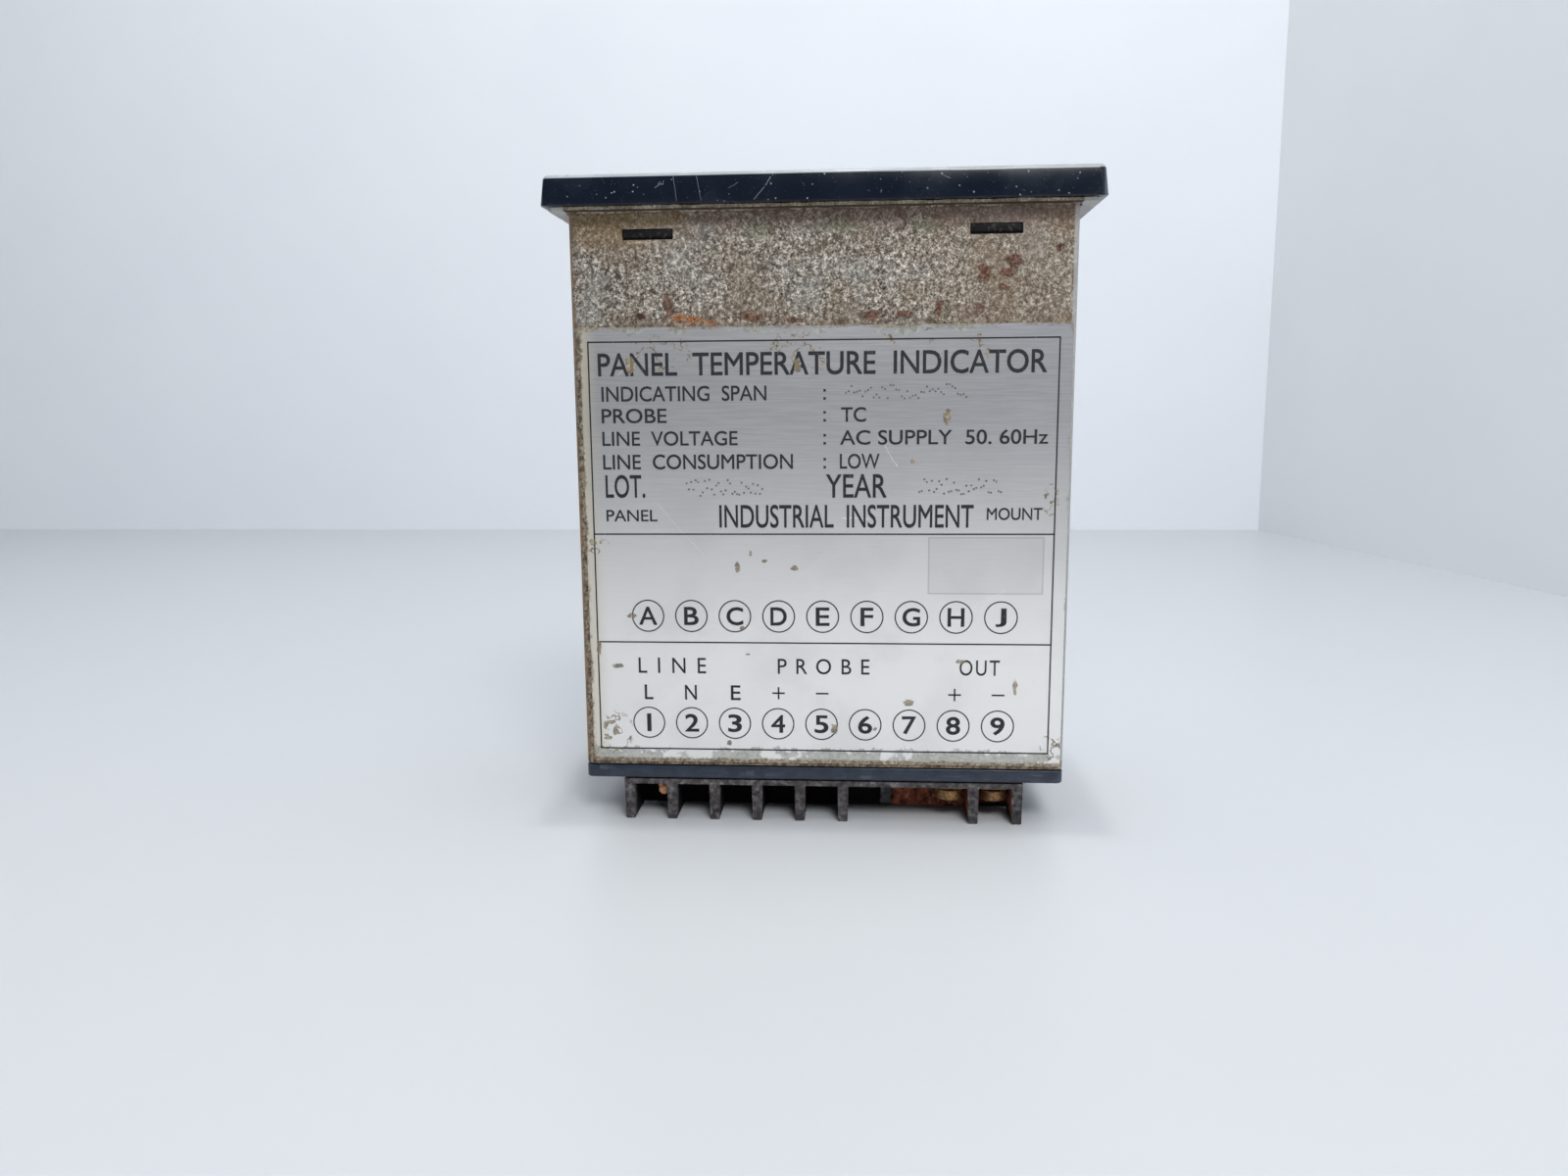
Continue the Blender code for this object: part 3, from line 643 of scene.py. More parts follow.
def zinc_steel():
    """Zinc-plated steel gone grey, brown and speckled, with rust at the plate's edge and golden corners."""
    finish = Finish("weathered_zinc_steel")
    front = finish.y.step(-19.9, -20.4)
    ragged = finish.shifted(1.1, 0.9)
    fine = finish.noise(2.8, 5, 0.8)
    grain = finish.noise(1.1, 5, 0.72, place=finish.stretched((1, 1, 0.85)), seed=7)
    patch = finish.noise(0.11, 4, 0.6, seed=2)
    wear = fine * 0.62 + grain * 0.38
    finish.color = finish.colors(wear, [
        (0.39, 24, 20, 18), (0.45, 90, 81, 71), (0.50, 136, 128, 117),
        (0.545, 186, 178, 166), (0.61, 248, 243, 234)])
    finish.coat(0.45 - front * 0.45, settings("case").color)
    finish.coat(patch.step(0.48, 0.62) * 0.35, 122, 102, 80)
    finish.coat(patch.step(0.48, 0.36) * 0.25, 158, 160, 160)
    broad = finish.noise(0.035, 3, seed=33)
    finish.coat(broad.step(0.5, 0.62) * (1 - front) * 0.45, 112, 94, 76)
    finish.coat(broad.step(0.48, 0.36) * (1 - front) * 0.35, 164, 162, 156)
    finish.coat(finish.x.step(12, 34) * front * 0.28, 142, 120, 96)
    pits = finish.cells(1.3, place=finish.shifted(0.7, 1.6, 5)).step(0.3, 0.12) * grain.step(0.54, 0.46)
    finish.coat(pits * 0.6, 48, 38, 34)
    upper = (finish.z + finish.noise(0.25, 3, seed=11) * 6).step(108, 112)
    left = finish.x.step(-18, -27)
    golden = (finish.z + finish.noise(0.2, 3, seed=13) * 8).step(106, 113)
    finish.coat(golden * left * front * 0.55, 142, 112, 62)
    finish.coat(upper * (1 - left) * 0.5, 128, 98, 86)
    brow = (finish.z + fine * 0.8).step(110, 110.5)
    finish.coat(brow * 0.6, 92, 70, 56)
    worn = (finish.z + grain * 7).step(98.5, 94) * finish.noise(0.16, 3, seed=26).step(0.44, 0.56)
    finish.coat(worn * front * 0.45, 104, 78, 58)
    green = finish.ovals([(-11, 106.8, 5, 2.4), (3, 107, 7, 1.8), (18, 106.6, 4, 1.6)], ragged)
    finish.coat(green.step(1, 0.2) * front * 0.4, 98, 108, 84)
    corner = finish.x.step(-43.1, -43.7) * finish.y.step(-18.9, -19.6)
    # Painted highlight: a pale strip down the rounded front right corner of the sleeve.
    bare = finish.x.step(42.9, 43.3) * finish.y.step(-18.9, -19.6)
    spots = finish.noise(0.35, 5, 0.7, seed=21)
    elsewhere = spots.step(0.62, 0.7) * (1 - front)
    rust_edge = finish.noise(1.4, 4, 0.7, seed=5)
    near_rust = finish.ovals(FRONT_RUST, ragged)
    rust = ((near_rust + rust_edge * 1.3).step(1.75, 1.25) * front).most(elsewhere * 0.8)
    edge_line = (finish.z + rust_edge * 2.6).step(93.1, 91.6)
    edge_line = edge_line * finish.noise(0.3, 3, seed=8).step(0.42, 0.58)
    rust = rust.most(edge_line * front * 0.5)
    orange = (finish.ovals([(-22.5, 91.4, 5, 1.3), (-44, 101, 1.4, 9)], ragged) + rust_edge).step(1.7, 1.2)
    orange = orange * fine.step(0.42, 0.56)
    rust_color = finish.colors(finish.noise(1.9, 4, 0.7, seed=14), [
        (0.36, 44, 24, 20), (0.47, 80, 46, 34), (0.56, 112, 70, 50), (0.68, 160, 116, 84)])
    rust_color = finish.mix(orange * front * 0.8, rust_color, (196, 126, 62))
    finish.coat(rust * (0.78 + fine.step(0.6, 0.4) * 0.2), rust_color)
    dark = (finish.ovals(FRONT_DARK, ragged) + rust_edge).step(1.5, 1.1) * front
    finish.coat(dark * 0.8, 44, 32, 28)
    gold = finish.noise(0.9, 4, 0.7, place=finish.stretched((1, 1, 0.35)), seed=31).step(0.4, 0.55)
    finish.coat(corner * gold * 0.8, 184, 136, 80)
    lower = finish.z.step(92, 90) * front
    finish.coat(lower * 0.6, finish.mix(grain.step(0.42, 0.58), (84, 76, 66), (176, 168, 148)))
    # Painted highlight laid on the front right corner.
    finish.coat(bare * 0.55, 198, 200, 200)
    foot = (finish.z - finish.noise(0.9, 3) * 0.8).step(12.2, 11.6)
    finish.coat(foot * 0.8, finish.mix(grain.step(0.4, 0.6), (78, 60, 46), (156, 138, 114)))
    metal = 0.55 - rust * 0.5 - foot * 0.4 - dark * 0.4
    relief = wear + rust * rust_edge * 1.5
    return finish.surface(0.46 + fine * 0.2 + rust * 0.3, (relief, 0.16), Metallic=metal)


CHIPS = [
    (-15, 48, 0.5, 1), (-10.1, 49.1, 0.6, 0.35), (-4.8, 47.9, 0.7, 0.45), (-12.7, 50.5, 0.25, 0.5),
    (-34.6, 39, 1, 0.5), (-14.4, 36.8, 0.5, 0.45), (-37.5, 29.6, 1.3, 0.4), (15.9, 23.2, 1, 0.6),
    (2.4, 18, 0.7, 1), (-17, 15.2, 0.5, 0.7), (35, 26.2, 0.4, 1.6), (-40.1, 18.4, 0.5, 0.9),
    (-39.2, 18.9, 1.2, 0.4), (-38.3, 17.2, 0.5, 1.1), (-39.7, 15.8, 0.9, 0.4), (-41.3, 52.5, 0.7, 0.6),
    (25.2, 30.8, 1.1, 0.4), (-33.6, 84, 0.9, 1.6), (22.1, 74.6, 0.8, 1.6), (16.2, 66.9, 0.4, 0.4),
    (-4, 83.6, 0.7, 1.2), (-13.4, 31.9, 0.5, 0.15), (9.7, 18.2, 0.35, 0.3), (-40.9, 33, 0.5, 1.6),
]


def rating_aluminium():
    """Pale brushed aluminium with painted shade that darkens it towards the top, brown crust at its edges
    and small chips.
    """
    finish = Finish("rating_aluminium")
    brush = finish.noise(1, 4, 0.6, place=finish.stretched((0.12, 1, 3.5)))
    cloud = finish.noise(0.07, 4, 0.55, seed=2)
    ragged = finish.shifted(1, 0.8, 3)
    # Painted shade: the plate turns darker grey towards the top, standing in for the floor's bounce light
    # on its lower part.
    upper = finish.z.step(24, 82)
    finish.color = finish.mix(upper * 0.95, settings("plate").metal, (142, 143, 147))
    finish.coat(brush.step(0.35, 0.65) * 0.08, 240, 240, 240)
    finish.coat(cloud.step(0.45, 0.7) * 0.12, 150, 148, 146)
    margin = (finish.x + cloud * 3).step(-37.5, -41)
    finish.coat(margin * 0.55, 204, 194, 168)
    across, up = abs(finish.x - 29.3), abs(finish.z - 48.35)
    label = across.step(10.3, 10.1) * up.step(5.25, 5.05)
    outline = label * (1 - across.step(10.05, 9.85) * up.step(5, 4.8))
    finish.coat(label * 0.12, 120, 122, 126)
    finish.coat(outline * 0.3, 120, 118, 112)
    fine = finish.noise(1.3, 4, 0.7, seed=6)
    coarse = finish.noise(0.25, 4, 0.6, seed=16)
    right = 0.55 + finish.x.step(-1, 1) * 0.45
    inward = abs(finish.x - PLATE.center.x) + fine * 1.4 + coarse * 2.2 - right
    crust = inward.step(43.7, 44.4)
    top_crust = (finish.z + fine * 1.2 + coarse * 1.6).step(91.4, 92)
    foot_crust = (finish.z - fine * 1.2 - coarse * 0.8).step(11.3, 10.9)
    chips = (finish.ovals(CHIPS, ragged) + fine * 0.8).step(1.4, 1.15)
    glue_zone = finish.ovals([
        (-4, 85.5, 6, 4.5), (-28.5, 86, 6.5, 3.5), (15.5, 88.8, 5, 2.4), (28.5, 87.5, 3, 3.2),
        (-38, 17, 3.4, 4.5), (-40.6, 52, 2.4, 1.8), (41.6, 15, 2, 3), (40.4, 60, 1.6, 3)], ragged)
    contours = abs(finish.noise(0.26, 3, 0.6, seed=50) - 0.5)
    squiggles = contours.step(0.022, 0.01) * glue_zone.step(1.05, 0.75)
    flaked = finish.noise(0.6, 4, 0.65, seed=61)
    grey_foot = (finish.z - flaked * 4 - fine * 1.4).step(11.5, 11.1)
    grey_foot = grey_foot * (finish.noise(0.22, 3, seed=60) + fine * 0.3).step(0.56, 0.62)
    grey_top = (finish.z + coarse * 4 + fine).step(91.6, 92)
    grey_top = grey_top * finish.noise(0.12, 2, seed=40).step(0.5, 0.55)
    grey = finish.mix(fine.step(0.4, 0.6), (122, 124, 112), (172, 174, 164))
    finish.coat(grey_foot.most(grey_top) * 0.66, grey)
    crust_color = finish.colors(finish.noise(1.7, 4, 0.7, seed=12), [
        (0.34, 70, 54, 40), (0.47, 122, 102, 76), (0.58, 164, 148, 120), (0.7, 206, 196, 174)])
    dirty = crust.most(top_crust * 0.8).most(foot_crust)
    finish.coat(dirty * 0.85, crust_color)
    finish.coat(chips.most(squiggles) * 0.85, finish.mix(
        fine.step(0.42, 0.58), (92, 78, 58), (164, 150, 122)))
    nicks = finish.lines([
        ((3.6, 56.9), (8.6, 56.7), 0.12), ((10, 71.5), (13.5, 66), 0.05),
        ((-30, 60), (-21, 50), 0.04), ((24.5, 39.5), (33, 44), 0.05),
        ((-36, 82), (-32, 86), 0.05)], ragged)
    finish.coat(nicks * 0.7, 238, 238, 238)
    metal = 0.3 - dirty.most(chips) * 0.28
    relief = brush * 0.12 + dirty * fine + chips * 0.3
    return finish.surface(0.42 + dirty * 0.4 + brush * 0.1, (relief, 0.22), Metallic=metal)


def printed_ink():
    """Black print, worn thin in places."""
    finish = Finish("printed_ink")
    wear = finish.noise(1.6, 4, 0.7).step(0.6, 0.72)
    finish.color = finish.mix(wear * 0.5, settings("plate").ink, (128, 128, 130))
    chips = (finish.ovals(CHIPS, finish.shifted(1, 0.8, 3)) + wear * 0.3).step(1, 0.8)
    finish.coat(chips * 0.75, 142, 128, 102)
    return finish.surface(0.55 + wear * 0.2 + chips * 0.2)


def faint_stamp():
    """Grey dotted stamping that has nearly worn away."""
    finish = Finish("faint_stamp")
    wear = finish.noise(2.4, 3, 0.6).step(0.42, 0.6)
    finish.color = finish.mix(wear * 0.6, (100, 100, 104), (140, 141, 144))
    return finish.surface(0.6, Metallic=0.3)


def blue_black():
    """Semi-gloss blue-black moulding, scuffed along its length."""
    finish = Finish("blue_black_moulding")
    streak = finish.noise(0.7, 4, 0.6, place=finish.stretched((0.12, 0.12, 1.6)))
    mottle = finish.noise(0.5, 4, 0.65, seed=3)
    scuff = streak.step(0.52, 0.68) * mottle.step(0.4, 0.65)
    specks = finish.cells(1.1).step(0.09, 0.04) * finish.noise(0.6).step(0.5, 0.65)
    finish.color = finish.mix(mottle.step(0.35, 0.65) * 0.6, (32, 40, 54), (48, 58, 75))
    finish.coat(scuff * 0.5, 92, 102, 116)
    finish.coat(specks * 0.6, 150, 152, 150)
    return finish.surface(0.3 + scuff * 0.25, (mottle + scuff * 0.4, 0.06))


def aged_moulding(broken):
    """Dusty brown-black terminal moulding, painted nearly black behind its front as shade. The broken row
    has a rust-stained back wall.
    """
    finish = Finish("aged_moulding_stained" if broken else "aged_moulding")
    dust = finish.noise(0.9, 5, 0.7)
    grime = finish.noise(0.22, 4, 0.6, seed=5)
    finish.color = finish.colors(dust, [
        (0.32, 36, 34, 37), (0.46, 67, 64, 66), (0.58, 98, 95, 96), (0.72, 150, 146, 142)])
    finish.coat(grime.step(0.4, 0.65) * 0.5, settings("terminal").plastic)
    # Painted shade: the moulding more than about 2 mm behind the row's front is made nearly black, except
    # the broken barrier's stub.
    painted_slot_shade = finish.y.step(-19.6, -18.2) if broken else finish.y.step(19.6, 18.2)
    if broken:
        stub = finish.x.step(10.7, 10.9) * finish.x.step(13.3, 13.1) * finish.y.step(-12.2, -12.6)
        painted_slot_shade = painted_slot_shade * (1 - stub * 0.85)
    finish.coat(painted_slot_shade * 0.98, 3, 2, 7)
    specks = finish.cells(1.5).step(0.1, 0.05) * finish.noise(0.7, seed=2).step(0.5, 0.65)
    finish.coat(specks * 0.6, 176, 160, 132)
    if broken:
        zone = finish.x.step(12.4, 14.6) * finish.x.step(28.2, 27) * finish.y.step(-13.4, -12.4)
        cheek = finish.x.step(26.3, 26.9) * finish.x.step(36.9, 36.7) * finish.z.step(0.6, 2)
        cheek = cheek * finish.y.step(-20.1, -19.3)
        rust_color = finish.colors(finish.noise(0.8, 5, 0.7, seed=9), [
            (0.3, 66, 32, 28), (0.45, 134, 70, 52), (0.56, 176, 106, 76), (0.7, 224, 170, 126)])
        rust = zone.most(cheek * 0.75) * finish.noise(0.5, 4, seed=19).step(0.22, 0.45)
        finish.coat(rust * 0.92, rust_color)
        cracks = finish.lines([
            ((15.6, 6.4), (17.6, 3.2), 0.1), ((19.4, 6.6), (17.4, 3.2), 0.09),
            ((20.6, 5.8), (19, 3.6), 0.08), ((14, 4.4), (15.4, 3.4), 0.06),
        ], finish.shifted(0.5, 1.2)) * finish.y.step(-13.4, -12.4)
        finish.coat(cracks * 0.9, 28, 12, 12)
    return finish.surface(0.66 + dust * 0.2, (dust + grime, 0.14), Specular_IOR_Level=0.2)


def old_brass(name, bright, dull):
    """Tarnished brass with brown deposits."""
    finish = Finish(name)
    tarnish = finish.noise(0.9, 5, 0.7)
    spots = finish.noise(2.6, 3, 0.6, seed=4)
    finish.color = finish.mix(tarnish.step(0.38, 0.62), bright, dull)
    finish.coat(spots.step(0.56, 0.68) * 0.6, 64, 40, 28)
    finish.coat(spots.step(0.42, 0.34) * 0.5, 220, 188, 140)
    metal = 0.85 - tarnish.step(0.4, 0.7) * 0.45
    return finish.surface(0.34 + tarnish * 0.3, (spots + tarnish, 0.05), Metallic=metal)


def rust_crust_and_painted_light():
    """Orange-brown corroded flake, its rust colours brightened as painted light because it sits in shade.
    """
    finish = Finish("rust_crust_and_painted_light")
    grain = finish.noise(2.2, 5, 0.75)
    # Painted light: the pale stops lift the rust towards cream so that the shaded flake reads as lit.
    finish.color = finish.colors(grain, [
        (0.3, 120, 66, 42), (0.45, 204, 136, 96), (0.58, 240, 192, 156), (0.7, 250, 224, 198)])
    return finish.surface(0.9, (grain, 0.2))


def circuit_board():
    """Green laminate with copper tracks under the mask."""
    finish = Finish("circuit_board")
    place = finish.shifted(0.2, 0.4)
    tracks = finish.cells(0.22, "DISTANCE_TO_EDGE", place).step(0.09, 0.06)
    pads = finish.cells(0.4).step(0.16, 0.12)
    finish.color = finish.mix(tracks * 0.6, (26, 84, 52), (60, 128, 80))
    finish.coat(pads, 190, 186, 176)
    return finish.surface(0.4 + pads * 0.1, (tracks * 0.5 + pads, 0.06), Metallic=pads * 0.8)


def plain_moulding(name, dark, pale, roughness):
    """Moulded or wound piece with slight mottling."""
    finish = Finish(name)
    mottle = finish.noise(0.6, 4, 0.6)
    grain = finish.noise(3, 3, 0.6, seed=3)
    finish.color = finish.mix(mottle.step(0.35, 0.7), dark, pale)
    return finish.surface(roughness + grain * 0.15, (grain, 0.05))


def laminated_steel():
    """Edges of a stack of transformer sheets."""
    finish = Finish("laminated_steel")
    sheets = finish.math("SINE", finish.y * 12)
    rust = finish.noise(0.5, 4, 0.7).step(0.5, 0.68)
    finish.color = finish.mix(sheets.step(-0.4, 0.6), (62, 62, 66), (124, 124, 126))
    finish.coat(rust * 0.6, 104, 66, 44)
    return finish.surface(0.45 + rust * 0.3, (sheets, 0.05), Metallic=0.7 - rust * 0.5)


def wound_tape():
    """Yellow tape over a winding."""
    finish = Finish("winding_tape")
    turns = finish.math("SINE", finish.z * 2.6)
    grain = finish.noise(1.2, 4)
    finish.color = finish.mix(grain.step(0.35, 0.65), (196, 160, 72), (220, 190, 110))
    return finish.surface(0.4 + grain * 0.2, (turns + grain, 0.06))


# Operators, one for each piece or group of like pieces.

class THERMOMETER_OT_bezel(bpy.types.Operator):
    """Glossy front frame with its skirt, hooks and softened edges"""

    bl_idname = "thermometer.bezel"
    bl_label = "Front bezel"

    def execute(self, context):
        style = settings("bezel")
        back = CASE.high.z + FRAME_GAP
        front = BEZEL.high.z
        size = BEZEL.size
        share = [1 - 2 * style.draft / MM / across for across in (size.x, size.y)]
        body = centered_slab("bezel_moulding", size.x, size.y, back, front, corner=1.3, segments=8)
        with Edit(body) as edit:
            edit.taper(Z, 1, (*share, 1), (0, 0, front))
            edit.bevel(rim_of(Z, 1), style.rim / MM, 5)
            edit.bevel(rim_of(Z, -1), 0.15, 2)
        skirt_width, skirt_depth = CASE.size.x - INNER_GAP, CASE.size.y - INNER_GAP
        skirt = centered_slab("skirt", skirt_width, skirt_depth, BEZEL.low.z, back + 1, corner=1)
        hollow = centered_slab(
            "hollow", skirt_width - 3, skirt_depth - 3, BEZEL.low.z - 1, back + 1.2, corner=0.6)
        aperture = centered_slab("aperture", 80, 32, back - 1, front + 1, corner=0.8)
        seat = centered_slab(
            "seat", WINDOW.size.x + 0.6, WINDOW.size.y + 0.6, WINDOW.low.z - 0.3, front + 1, corner=1.5)
        weld(body, skirt)
        cut(body, hollow, aperture, seat)
        hooks = []
        for side in (-1, 1):
            near_y, far_y = sorted((side * (skirt_depth / 2 - 0.7), side * (CASE.high.y - 0.15)))
            for x in HOOK_PLACES:
                hook = add_slab(
                    "hook", (x - HOOK_HALF, near_y, HOOK_BOTTOM), (x + HOOK_HALF, far_y, HOOK_TOP))
                with Edit(hook) as edit:
                    edit.bevel(lambda edge: near(Z, HOOK_BOTTOM)(edge) and rim_of(Y, side)(edge), 0.5, 1)
                hooks.append(hook)
        weld(body, *hooks)
        soften(body, 0.12)
        finished(body, gloss_black(), slot="black_gloss", stands_for=["front_bezel"])
        return {"FINISHED"}


class THERMOMETER_OT_window(bpy.types.Operator):
    """Smoked window pane with a polished bevel"""

    bl_idname = "thermometer.window"
    bl_label = "Window"

    def execute(self, context):
        rims = ((1, 0.3, 3), (-1, 0.1, 1))
        pane = add_slab("window_pane", WINDOW.low, WINDOW.high, corner=1.2, rims=rims)
        finished(pane, smoked_pane(), slot="smoked_acrylic", stands_for=["front_window"])
        return {"FINISHED"}


class THERMOMETER_OT_digits(bpy.types.Operator):
    """Unlit segments of the four digits and their points"""

    bl_idname = "thermometer.digits"
    bl_label = "Digit segments"

    def execute(self, context):
        top = LED.high.z
        half_wide, half_high, thick, rise = 3.6, 6, 1.3, 0.12
        upright = [(side * half_wide, row * half_high / 2, thick, half_high - thick - 0.3)
                   for side in (-1, 1) for row in (-1, 1)]
        flat = [(0, row * half_high, 2 * half_wide - thick - 0.3, thick) for row in (-1, 0, 1)]
        parts = []
        for digit in range(4):
            x0 = LED.center.x + (digit - 1.5) * 14
            for x, y, wide, high in upright + flat:
                low = (x0 + x - wide / 2, y - high / 2, top)
                high = (x0 + x + wide / 2, y + high / 2, top + rise)
                parts.append(add_slab("segment", low, high, corner=0.5, segments=2))
            parts.append(add_rod("point", (x0 - 6.3, 6), 0.8, top, top + rise, 16))
        segments = join(parts)
        segments.name = "digit_segments"
        finish = plain_moulding("unlit_segment", (170, 60, 52), (196, 92, 80), 0.35)
        finished(segments, finish, slot="led_grey")
        return {"FINISHED"}


class THERMOMETER_OT_gasket(bpy.types.Operator):
    """Crumbling foam ring behind the bezel, with dried sealant along the case"""

    bl_idname = "thermometer.gasket"
    bl_label = "Panel gasket"

    def execute(self, context):
        bottom, top = GASKET.low.z, GASKET.high.z + 0.2
        ring = centered_slab("foam_gasket", GASKET.size.x, GASKET.size.y, bottom, top, corner=1)
        cut(ring, centered_slab(
            "opening", CASE.size.x + 0.7, CASE.size.y + 0.7, bottom - 1, top + 1, corner=1.7))
        finish = aged_foam()
        rng = random.Random(5)
        with Edit(ring) as edit:
            edit.pick("EDGE", lambda edge: edge.calc_length() > 5 * MM)
            bpy.ops.mesh.subdivide(number_cuts=60)
            edit.pick_all()
            bpy.ops.transform.vertex_random(offset=0.1 * MM, seed=3)
        finished(ring, finish, slot="aged_foam", stands_for=["panel_gasket"], smooth=0)
        crumbs = []
        half_x, half_y = CASE.size.x / 2, CASE.size.y / 2
        start()
        bpy.ops.mesh.primitive_ico_sphere_add(subdivisions=1, radius=1 * MM)
        seed_crumb = bpy.context.object
        roughen(seed_crumb, 0.25, 2)
        for index in range(230):
            if index % 4:
                side = -1 if index % 8 < 5 else 1
                place = (rng.uniform(-half_x + 1, half_x - 1), side * (half_y + 0.12))
            else:
                side = rng.choice((-1, 1))
                place = (side * (half_x + 0.12), rng.uniform(-half_y + 1, half_y - 1))
            crumb = seed_crumb.copy()
            crumb.data = seed_crumb.data.copy()
            bpy.context.scene.collection.objects.link(crumb)
            crumb.scale = (rng.uniform(0.25, 0.8), rng.uniform(0.12, 0.2), rng.uniform(0.08, 0.2))
            if index % 4 == 0:
                crumb.scale = (crumb.scale.y, crumb.scale.x, crumb.scale.z)
            crumb.location = Vector((*place, bottom + rng.uniform(-0.12, 0.05))) * MM
            crumbs.append(crumb)
        bpy.data.objects.remove(seed_crumb)
        sealant = join(crumbs)
        sealant.name = "dried_sealant"
        finished(sealant, finish, slot="aged_foam", smooth=60)
        return {"FINISHED"}


class THERMOMETER_OT_case(bpy.types.Operator):
    """Folded steel sleeve with slots for the bezel's hooks and a butt seam at the back"""

    bl_idname = "thermometer.case"
    bl_label = "Case sleeve"

    def execute(self, context):
        style = settings("case")
        wall, corner = style.wall / MM, style.corner / MM
        bottom, top = CASE.low.z, CASE.high.z
        sleeve = centered_slab(
            "steel_sleeve", CASE.size.x, CASE.size.y, bottom, top, corner=corner, segments=8)
        inside = centered_slab(
            "inside", CASE.size.x - 2 * wall, CASE.size.y - 2 * wall, bottom - 1, top + 1,
            corner=corner - wall)
        cut(sleeve, inside)
        for x in HOOK_PLACES:
            low, high = (x - SLOT_HALF, -30, SLOT_BOTTOM), (x + SLOT_HALF, 30, SLOT_TOP)
            cut(sleeve, add_slab("slot", low, high, corner=0.15, segments=2, axis=Y))
        seam = add_slab("seam", (-0.12, CASE.high.y - 0.25, bottom - 1), (0.12, CASE.high.y + 1, top + 1))
        cut(sleeve, seam)
        soften(sleeve, 0.08, 1)
        finished(sleeve, zinc_steel(), slot="zinc_steel", stands_for=["case_sleeve"])
        return {"FINISHED"}


def add_text(name, words, x0, x1, z0, z1, weight=0.019, spacing=1):
    """Wording set to fill a box on the plate, in millimetres, as a thin closed mesh."""
    start()
    bpy.ops.object.text_add()
    text = bpy.context.object
    text.data.body = words
    text.data.resolution_u = 4
    text.data.space_character = spacing
    text.data.extrude = 0.01
    bpy.ops.object.convert(target="MESH")
    text = bpy.context.object
    text.name = name
    with Edit(text) as edit:
        edit.pick_all()
        bpy.ops.mesh.remove_doubles(threshold=0.0001)
        bpy.ops.transform.shrink_fatten(value=weight)
    low = Vector(min(corner.co[axis] for corner in text.data.vertices) for axis in (X, Y, Z))
    high = Vector(max(corner.co[axis] for corner in text.data.vertices) for axis in (X, Y, Z))
    wide = (x1 - x0) * MM / (high.x - low.x)
    tall = (z1 - z0) * MM / (high.y - low.y)
    thin = PRINT_RISE * MM / (high.z - low.z)
    shrink = Matrix.Diagonal((wide, tall, thin, 1)) @ Matrix.Translation(-low)
    stand = Matrix.Rotation(math.pi / 2, 4, "X")
    put = Matrix.Translation(Vector((x0, PLATE.low.y, z0)) * MM)
    text.matrix_world = put @ stand @ shrink
    apply_place()
    return text


def add_line(x0, z0, x1, z1, width=0.26):
    """Printed rule from one point to another, along X or Z."""
    half = width / 2
    low = (min(x0, x1) - half, PLATE.low.y - PRINT_RISE, min(z0, z1) - half)
    high = (max(x0, x1) + half, PLATE.low.y, max(z0, z1) + half)
    return add_slab("rule", low, high)


def add_ring(x, z, radius, width=0.24):
    """Printed circle round a terminal's label."""
    start()
    bpy.ops.mesh.primitive_torus_add(
        major_segments=56, minor_segments=4, major_radius=(radius - width / 2) * MM,
        minor_radius=width / 2 * MM, location=Vector((x, PLATE.low.y, z)) * MM,
        rotation=(math.pi / 2, 0, 0))
    ring = bpy.context.object
    apply_place()
    with Edit(ring) as edit:
        edit.pick_all()
        bpy.ops.transform.resize(
            value=(1, PRINT_RISE / (width / 2), 1), center_override=(0, PLATE.low.y * MM, 0))
    return ring


LABEL_HALF_WIDTHS = {
    "A": 1.7, "B": 1.35, "C": 1.55, "D": 1.5, "E": 1.25, "F": 1.15, "G": 1.6, "H": 1.5, "J": 1, "1": 0.4}
PRINTED_WORDS = [
    ("INDICATING  SPAN", -38.9, -9.5, 77.6, 80.3), ("PROBE", -39, -27.3, 73.8, 76.4),
    ("TC", 3.6, 8, 73.8, 76.4),
    ("LINE  VOLTAGE", -39, -14.7, 69.8, 72.4), ("AC SUPPLY  50. 60Hz", 3.4, 39.6, 69.8, 72.4),
    ("LINE  CONSUMPTION", -39, -4.9, 65.6, 68.3), ("LOW", 3.4, 10.4, 65.6, 68.3),
    ("LOT.", -38.7, -31.5, 60.5, 64.7), ("YEAR", 0.9, 11.7, 60.5, 64.7),
    ("PANEL", -38.7, -29.4, 56.3, 58.4), ("MOUNT", 29.3, 39, 56.5, 58.7),
    ("LINE", -33.6, -21.1, 28.3, 31.2, 0.006, 1.9), ("PROBE", -7.9, 8.8, 28.3, 31.2, 0.006, 1.8),
    ("OUT", 25, 32.2, 28.3, 31.2, 0.006, 1.2),
    ("L", -32.6, -31, 23.3, 26.1), ("N", -25.1, -22.9, 23.3, 26.1), ("E", -16.6, -14.8, 23.3, 26.1),
]


